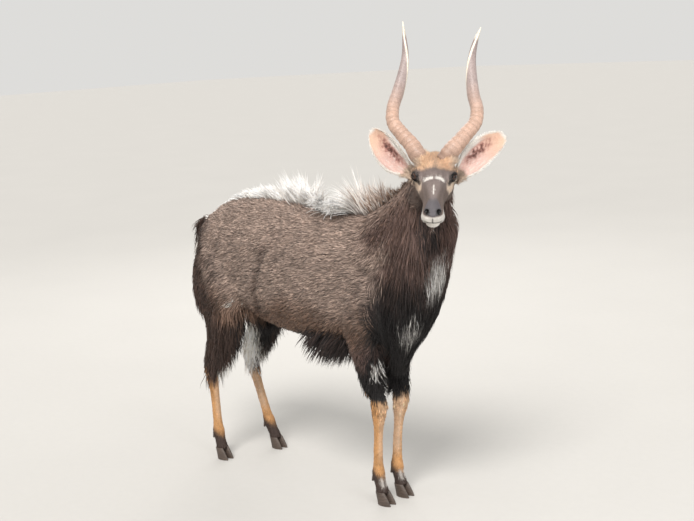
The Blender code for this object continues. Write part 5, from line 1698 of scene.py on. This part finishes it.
def make_lashes(side, word):
    """Lashes along the upper lid."""
    skin = hide()
    rng = np.random.default_rng(220 + side)
    count = int(LASHES * sizes().density)
    turn = np.pi * (0.06 + 0.88 * (np.arange(count) + rng.random(count)) / count)
    rise = SLIT_RISE * np.sin(turn) ** LID_ARCH * 1.10
    rim = np.column_stack([np.zeros(count), SLIT_SHIFT + SLIT_HALF * np.cos(turn) * 1.04, rise])
    rim[:, 0] = np.sqrt(np.maximum(LASH_RADIUS**2 - (rim[:, 1:] ** 2).sum(axis=1), 0))
    place = eye_frame(side)
    hits = [skin.tree.find_nearest(place @ Vector(p)) for p in rim]
    points = np.array([hit[0] for hit in hits])
    chart = skin.chart[np.array([hit[2] for hit in hits])].mean(axis=1)
    turned = np.array(place.to_3x3())
    normal = unit(points - np.array(place.translation))
    outward = np.tile(turned @ np.array([0.75, 0.0, 0.10]), (count, 1))
    way = outward + np.outer(np.cos(turn) * 0.4, turned[:, 1])
    tufts(
        f"lashes_{word}", (points, normal, chart, rng), way, 0.0085, 0.0007, 0.6, rings=3, droop=0.9,
        colour=np.tile(tones().dark * 0.5, (count, 1)), sink=0.0004, tint=0.1,
    )


def make_face_coat():
    """Very short hair of the face, longer on the forehead and cheeks, with lashes, beard and ears."""
    skin, size = hide(), sizes()
    head, middle = head_share(skin.middle)
    ears = on_ears(skin)
    keep = head * (1 - nose_share(middle)) * ~ears * smooth(1.10, 1.22, face_rim(middle))
    roots = skin.roots(keep * TUFTS["face"], 200)
    place, normal = roots[0], roots[1]
    _, h = head_share(place)
    along, out, up = h[:, 0], np.abs(h[:, 1]), h[:, 2]
    length = size.face_hair * graph(along, (0.0, 1.7), (0.09, 1.15), (0.15, 0.75), (0.24, 0.5), (0.30, 0.4))
    length *= 1 + 0.8 * fade(-0.08, -0.04, up) * fade(0.18, 0.26, along)
    boss = blob(np.stack([along, out, up], axis=1), (0.045, 0.045, 0.055), (0.045, 0.035, 0.03))
    length *= 1 + 0.5 * boss
    width = graph(along, (0.0, 0.0024), (0.12, 0.0018), (0.25, 0.0013))
    tufts(
        "coat_face", roots, lie_of(place, normal), length, width, 0.28 + 0.12 * boss, rings=1, flat=0.5,
        sink=0.001, tint=0.10, root_shade=0.8, tip_light=1.12,
    )
    for side, word in SIDES:
        make_lashes(side, word)
    along, up = middle[:, 0], middle[:, 2]
    beard = head * ~ears * fade(-0.060, -0.045, up) * smooth(0.09, 0.14, along) * fade(0.27, 0.285, along)
    roots = skin.roots(beard * TUFTS["beard"], 201)
    way = np.tile(np.array([-0.1, 0.0, -1.0]), (len(roots[0]), 1))
    tufts("beard", roots, way, 0.032, 0.0018, 0.4, rings=3, droop=0.9, wave=0.12, by_place=True, tint=0.15)
    make_ear_coat(skin, ears)


def make_ear_coat(skin, ears):
    """Fine hair of the ears, longer along their edges."""
    edge = [np.where(mask, smooth(0.6, 0.85, np.abs(across)), 0.0)
            for mask, _, across, _, _ in ear_places(skin.middle, skin.facing)]
    roots = skin.roots(ears * (0.6 + 1.4 * np.maximum(*edge)) * TUFTS["ears"], 202)
    place, normal = roots[0], roots[1]
    left, right = ear_places(place, normal)
    share, across, inner = (np.where(left[0], left[k], right[k]) for k in (1, 2, 3))
    rim = smooth(0.70, 0.92, np.abs(across))
    length = np.where(inner, 0.004 + 0.006 * rim, 0.008) * (0.8 + 0.4 * (1 - share))
    width = np.where(inner, 0.0009 + 0.0005 * rim, 0.0016)
    tufts(
        "coat_ears", roots, lie_of(place, normal), length, width, np.where(inner, 0.30, 0.22), rings=2,
        sink=0.0006, tint=0.10, root_shade=0.85, tip_light=1.12,
    )


# Eyes, horns and hooves


def make_eyes():
    """Glossy dark eyes with a long pupil, under a clear bulge."""
    for side, word in SIDES:
        eye = ball(f"eye_ball_{word}", (0, 0, 0), (EYE_RADIUS,) * 3, Matrix.Identity(4), 64)
        points = points_of(eye.data)
        gaze = points[:, 0] / EYE_RADIUS
        points[:, 0] += 0.0012 * smooth(0.55, 1.0, gaze)
        for name, (wide, high) in EYE_ZONES.items():
            away = np.sqrt((points[:, 1] / wide) ** 2 + (points[:, 2] / high) ** 2)
            measure(eye.data, name, np.where(gaze > 0, away, 9.0))
        set_points(eye.data, points)
        eye.data.transform(eye_frame(side))
        choose(eye)
        bpy.ops.object.shade_smooth()
        set_material(eye, finish_once("eye_gloss", eye_finish))
        settle(eye, "eye", f"eye_{word}")


def eye_finish():
    """Dark brown iris, near black rim and pupil, under a clear coat."""
    def colour(tree):
        iris, pupil = reading(tree, "iris", (-1100, 300)), reading(tree, "pupil", (-1100, 100))
        ring = colour_ramp(tree, (-900, 300), iris, (0.3, shade(84, 54, 37)), (1.0, shade(16, 12, 11)))
        hole = colour_ramp(tree, (-900, 50), pupil, (0.85, (1, 1, 1)), (1.0, (0, 0, 0)))
        return blend(tree, (-600, 200), hole, ring, (*shade(8, 8, 12), 1))
    return material(
        "eye_gloss", colour, (900.0, 0.3), (60.0, 0.2), 0.10, Coat_Weight=0.4, Coat_Roughness=0.02,
        Specular_IOR_Level=0.25,
    )


def make_horns():
    """Twisted horns with a keel, close rings below and ivory tips."""
    level = level_matrix()
    turned = level.to_3x3()
    angles = 2 * math.pi * np.arange(HORN_SIDES) / HORN_SIDES
    ridge = np.maximum(0.0, np.cos(angles)) ** 5
    for side, word in SIDES:
        rows = smooth_rows(HORNS[side], HORN_RINGS)
        line = np.gradient(rows[:, :3] * [-1, side, 1], axis=0)
        rings, along, grooves = [], [], []
        rng = np.random.default_rng(300 + side)
        steps = np.linspace(0, HORN_RINGS - 1, 30)
        wobble = np.interp(np.arange(HORN_RINGS), steps, rng.uniform(-0.6, 0.6, 30))
        for k, (back, out, height, radius) in enumerate(rows):
            share = k / (HORN_RINGS - 1)
            centre = np.array(level @ Vector((-back, out * side, height)))
            ahead = (turned @ Vector(line[k])).normalized()
            first = (turned @ Vector((1, 0, 0))).cross(ahead).normalized()
            second = ahead.cross(first)
            keel = side * HORN_TWIST * share * 220 / 221 + (math.pi if side > 0 else 0.0)
            wave = math.sin(share * 175.0 + 2.2 * wobble[k]) * float(fade(0.34, 0.62, share))
            step = 0.022 * wave * (1 - 0.6 * ridge)
            lumps = 0.016 * np.sin(angles * 3 + share * 25.0) * (1 - share)
            lumps = lumps + 0.008 * np.sin(angles * 9 + share * 90.0)
            reach = radius * (1.0 - HORN_KEEL / 3 + ridge * HORN_KEEL + step + lumps)
            spokes = np.outer(np.cos(angles + keel), first) + np.outer(np.sin(angles + keel), second)
            rings.append(centre + spokes * reach[:, None])
            along += [share] * HORN_SIDES
            grooves += [0.5 + 0.5 * wave] * HORN_SIDES
        horn = tube(f"horn_ringed_{word}", rings)
        measure(horn.data, "along", along)
        measure(horn.data, "keel", np.tile(ridge, HORN_RINGS))
        measure(horn.data, "rings", grooves)
        choose(horn)
        bpy.ops.object.shade_smooth()
        set_material(horn, finish_once("horn_rings", horn_finish))
        settle(horn, "horn", f"horn_{word}")


def horn_finish():
    """Grey-brown horn, darker in its grooves, with an ivory keel and tip."""
    tone = tones()

    def colour(tree):
        along = reading(tree, "along", (-1300, 300))
        base = colour_ramp(
            tree, (-1000, 300), along,
            (0.0, tone.horn * 0.55), (0.10, tone.horn * 0.95), (0.38, tone.horn), (0.62, tone.horn_grey),
            (0.90, tone.horn_grey * 0.85), (0.945, tone.ivory * 0.85), (1.0, tone.ivory),
        )
        keel = node(tree, "ShaderNodeMapRange", (-1000, 0), {
            "Value": reading(tree, "keel", (-1300, 0)), "From Min": 0.70, "From Max": 0.95,
        })
        high = node(tree, "ShaderNodeMapRange", (-1000, -250), {
            "Value": along, "From Min": 0.30, "From Max": 0.50,
        })
        grooves = node(tree, "ShaderNodeMapRange", (-1000, 600), {
            "Value": reading(tree, "rings", (-1300, 600)), "From Max": 0.5, "To Min": 0.86,
        })
        ringed = node(tree, "ShaderNodeVectorMath", (-780, 400), {
            0: base, "Scale": grooves.outputs["Result"],
        }, operation="SCALE")
        # Painted highlight along the keel of the horn's upper half
        keel_highlight = maths(tree, "MULTIPLY", (-800, -100), keel.outputs[0], high.outputs[0])
        return blend(tree, (-600, 200), keel_highlight, ringed.outputs["Vector"], (*tone.ivory, 1))
    return material("horn_rings", colour, (240.0, 0.7), (34.0, 0.25), 0.42, bump=0.8)


# Down a claw from its coronet: share of the drop, shift forwards, half width, reach to toe and heel
CLAW_LEVELS = (
    (0.0, 0.0, 0.0105, 0.020, 0.020), (0.33, 0.006, 0.0115, 0.026, 0.0225),
    (0.70, 0.012, 0.0125, 0.031, 0.0245), (1.0, 0.015, 0.0130, 0.034, 0.0255),
)


def make_hooves():
    """Eight claws and eight dewclaws."""
    finish = material("hoof_horn", hoof_colour, (220.0, 0.4), (30.0, 0.4), 0.5, bump=0.5)
    for leg, rows, steps in (("fore", FORELEG, {1: 0.0, -1: 0.0}), ("hind", HINDLEG, HIND_STEPS)):
        for side, word in SIDES:
            foot, fetlock = leg_rows((rows[-1], rows[-4]), side, steps[side])
            for claw, claw_side in (("outer", side), ("inner", -side)):
                name = f"{leg}_{word}_{claw}"
                claw_piece(name, foot, claw_side, finish)
                dewclaw_piece(name, fetlock, claw_side, finish)


def hoof_colour(tree):
    """Darker and paler bands across the hoof."""
    place = node(tree, "ShaderNodeTexCoord", (-1300, 300)).outputs["Object"]
    bands = node(tree, "ShaderNodeTexWave", (-1000, 300), {
        "Vector": place, "Scale": 38.0, "Distortion": 9.0, "Detail": 3.0,
    }, bands_direction="Z")
    hoof = tones().hoof
    return colour_ramp(tree, (-800, 300), bands.outputs["Fac"], (0.0, hoof * 0.82), (1.0, hoof * 1.12))


def round_edges(made, width, segments, sharper_than, smooth_under):
    """Rounds a piece's sharper edges and shades the rest smooth."""
    rim = made.modifiers.new("rim", "BEVEL")
    rim.width = width
    rim.segments = segments
    rim.limit_method = "ANGLE"
    rim.angle_limit = math.radians(sharper_than)
    apply_all(made)
    bpy.ops.object.shade_smooth_by_angle(angle=math.radians(smooth_under))


def claw_piece(name, centre, side_in, finish):
    """One half of a cloven hoof, extruded upwards from its sole ring by ring."""
    top = CORONET_HEIGHT - 0.0003
    levels = [np.array(row) for row in CLAW_LEVELS[::-1]]
    steps = (0.0, 0.25, 0.5, 0.75)
    finer = [low + (high - low) * t for low, high in zip(levels[:-1], levels[1:]) for t in steps]
    finer.append(levels[-1])
    clear_selection()
    bpy.ops.mesh.primitive_circle_add(vertices=36, radius=1.0, fill_type="NGON")
    made = bpy.context.object
    made.name = f"claw_{name}"
    bpy.ops.object.mode_set(mode="EDIT")
    for _ in finer[1:]:
        bpy.ops.mesh.extrude_region_move(TRANSFORM_OT_translate={"value": (0.0, 0.0, 1.0)})
    bpy.ops.object.mode_set(mode="OBJECT")
    points = points_of(made.data)
    shaped = points.copy()
    for k, (drop, forward, width, toe, heel) in enumerate(finer):
        ring = np.abs(points[:, 2] - k) < 0.5
        along, across = points[ring, 0], points[ring, 1]
        pinch = 1.0 - 0.35 * np.maximum(along, 0) ** 2
        growth = 1.0 + (0.012 if k % 2 else -0.012) * (0 < k < len(finer) - 1)
        shaped[ring, 0] = centre[0] + forward + np.where(along > 0, toe, heel) * along * growth
        shaped[ring, 1] = centre[1] + side_in * CLAW_APART + width * across * pinch * growth
        shaped[ring, 2] = top * (1 - drop)
    set_points(made.data, shaped)
    point_outwards(made)
    round_edges(made, 0.0009, 2, 50, 45)
    set_material(made, finish)
    settle(made, "hoof", f"hoof_{name}")


def dewclaw_piece(name, fetlock, side_in, finish):
    """A small blunt cone behind the fetlock."""
    clear_selection()
    bpy.ops.mesh.primitive_cone_add(vertices=24, radius1=0.0080, radius2=0.0035, depth=0.024)
    made = bpy.context.object
    made.name = f"spur_{name}"
    back, apart, height = DEWCLAW_PLACE
    place = Vector((fetlock[0] - back, fetlock[1] + side_in * apart, height))
    made.data.transform(Matrix.Translation(place) @ Matrix.Rotation(DEWCLAW_TILT, 4, "Y"))
    round_edges(made, 0.0025, 3, 30, 60)
    set_material(made, finish)
    settle(made, "hoof", f"dewclaw_{name}")


# The stage


CAMERA_PLACE = (3.0897, -2.8381, 1.65)
CAMERA_YAW = math.radians(45.0)
CAMERA_DROP = math.radians(10.99)
CAMERA_ROLL = math.radians(-3.0)
CAMERA_LENS = 58.617
SKY_STRENGTH = 0.73
SUN_POWER = 2.9
SUN_TURN = (math.radians(38.0), math.radians(4.0), math.radians(20.0))
SUN_WIDTH = math.radians(24.0)
# Each lamp: name, place, power, size, colour
LAMPS = (
    ("fill", (4.0, -0.6, 2.4), 45.0, 2.0, (0.95, 0.97, 1.0)),
    ("back", (-3.0, 2.6, 3.6), 60.0, 2.5, (1.0, 0.98, 0.96)),
)
LAMP_AIM = (0.1, 0.0, 0.9)


def make_sky(scene):
    """An even pale sky."""
    world = scene.world or bpy.data.worlds.new("sky")
    scene.world = world
    world.use_nodes = True
    nodes = world.node_tree.nodes
    sky = nodes.get("Background") or nodes.new("ShaderNodeBackground")
    sky.inputs["Color"].default_value = (1.0, 0.99, 0.965, 1)
    sky.inputs["Strength"].default_value = SKY_STRENGTH
    if not any(n.type == "OUTPUT_WORLD" for n in nodes):
        out = nodes.new("ShaderNodeOutputWorld")
        world.node_tree.links.new(sky.outputs[0], out.inputs[0])


def add_lamp(name, kind, power, colour, **where):
    """A lamp of a kind and colour, at a place or turned to a direction."""
    clear_selection()
    bpy.ops.object.light_add(type=kind, **where)
    lamp = bpy.context.object
    lamp.name = name
    lamp.data.energy = power
    lamp.data.color = colour
    return lamp


def make_stage():
    """A pale floor, soft lamps and the camera at the photograph's angle."""
    clear_selection()
    bpy.ops.mesh.primitive_plane_add(size=90.0)
    floor = bpy.context.object
    floor.name = "floor"
    set_material(floor, material("floor_paint", pale, (30.0, 0.03), (1.5, 0.03), 0.85))
    scene = bpy.context.scene
    make_sky(scene)
    scene.view_settings.view_transform = "Standard"
    sun = add_lamp("sun", "SUN", SUN_POWER, (1.0, 0.97, 0.94), rotation=SUN_TURN)
    sun.data.angle = SUN_WIDTH
    for name, place, power, size, tone in LAMPS:
        lamp = add_lamp(name, "AREA", power, tone, location=place)
        lamp.data.size = size
        aim = Vector(LAMP_AIM) - Vector(place)
        lamp.rotation_euler = aim.to_track_quat("-Z", "Y").to_euler()
    clear_selection()
    bpy.ops.object.camera_add(location=Vector(CAMERA_PLACE) + SHIFT)
    camera = bpy.context.object
    camera.name = "camera"
    right = Vector((math.cos(CAMERA_YAW), math.sin(CAMERA_YAW), 0.0))
    level = math.cos(CAMERA_DROP)
    ahead = Vector((-math.sin(CAMERA_YAW) * level, math.cos(CAMERA_YAW) * level, -math.sin(CAMERA_DROP)))
    turn = Matrix((right, right.cross(ahead), -ahead)).transposed() @ Matrix.Rotation(CAMERA_ROLL, 3, "Z")
    camera.rotation_euler = turn.to_euler()
    camera.data.lens = CAMERA_LENS
    camera.data.sensor_width = 36.0
    camera.data.clip_end = 60.0
    scene.camera = camera


def pale(tree):
    """The floor's plain colour."""
    paint_node = node(tree, "ShaderNodeRGB", (-700, 200))
    paint_node.outputs[0].default_value = (*shade(190, 188, 184), 1)
    return paint_node.outputs[0]


# Operators, panel and registration


def operator(name, label, doc, work):
    """An operator class that does one piece of work."""
    def execute(self, context):
        work()
        return {"FINISHED"}
    return type(f"NYALA_OT_{name}", (bpy.types.Operator,), {
        "bl_idname": f"nyala.{name}", "bl_label": label, "__doc__": doc, "execute": execute,
    })


STEPS = (
    ("stage", "Stage", "Adds the floor, the lamps and the camera", make_stage),
    ("skin", "Skin", "Makes the skin of body, head and ears", make_skin),
    ("body_coat", "Body coat", "Grows the short hair of the body", make_body_coat),
    ("leg_coat", "Leg coat", "Grows the fine hair of the lower legs", make_leg_coat),
    ("mane", "Mane", "Grows the long hair of neck and chest", make_mane),
    ("crest", "Crest", "Grows the silver crest of the back", make_crest),
    ("fringes", "Fringes", "Grows the fringes of belly, legs and tail", make_fringes),
    ("face_coat", "Face coat", "Grows the hair of face, chin and ears", make_face_coat),
    ("eyes", "Eyes", "Makes both eyes", make_eyes),
    ("horns", "Horns", "Makes both horns", make_horns),
    ("hooves", "Hooves", "Makes hooves and dewclaws", make_hooves),
)
OPERATORS = [operator(*step) for step in STEPS]


class NYALA_PT_panel(bpy.types.Panel):
    bl_label = "Nyala"
    bl_idname = "NYALA_PT_panel"
    bl_space_type = "VIEW_3D"
    bl_region_type = "UI"
    bl_category = "Nyala"

    def draw(self, context):
        for name, label, _, _ in STEPS:
            self.layout.operator(f"nyala.{name}", text=label)
        for group_name in ("nyala_sizes", "nyala_colours"):
            values = getattr(context.scene, group_name)
            for field in type(values).__annotations__:
                self.layout.prop(values, field)


CLASSES = [NyalaSizes, NyalaColours, *OPERATORS, NYALA_PT_panel]


def register():
    for kind in CLASSES:
        bpy.utils.register_class(kind)
    bpy.types.Scene.nyala_sizes = bpy.props.PointerProperty(type=NyalaSizes)
    bpy.types.Scene.nyala_colours = bpy.props.PointerProperty(type=NyalaColours)


def unregister():
    del bpy.types.Scene.nyala_colours
    del bpy.types.Scene.nyala_sizes
    for kind in reversed(CLASSES):
        bpy.utils.unregister_class(kind)


def main():
    register()
    for name, *_ in STEPS:
        getattr(bpy.ops.nyala, name)()


if __name__ == "__main__":
    main()
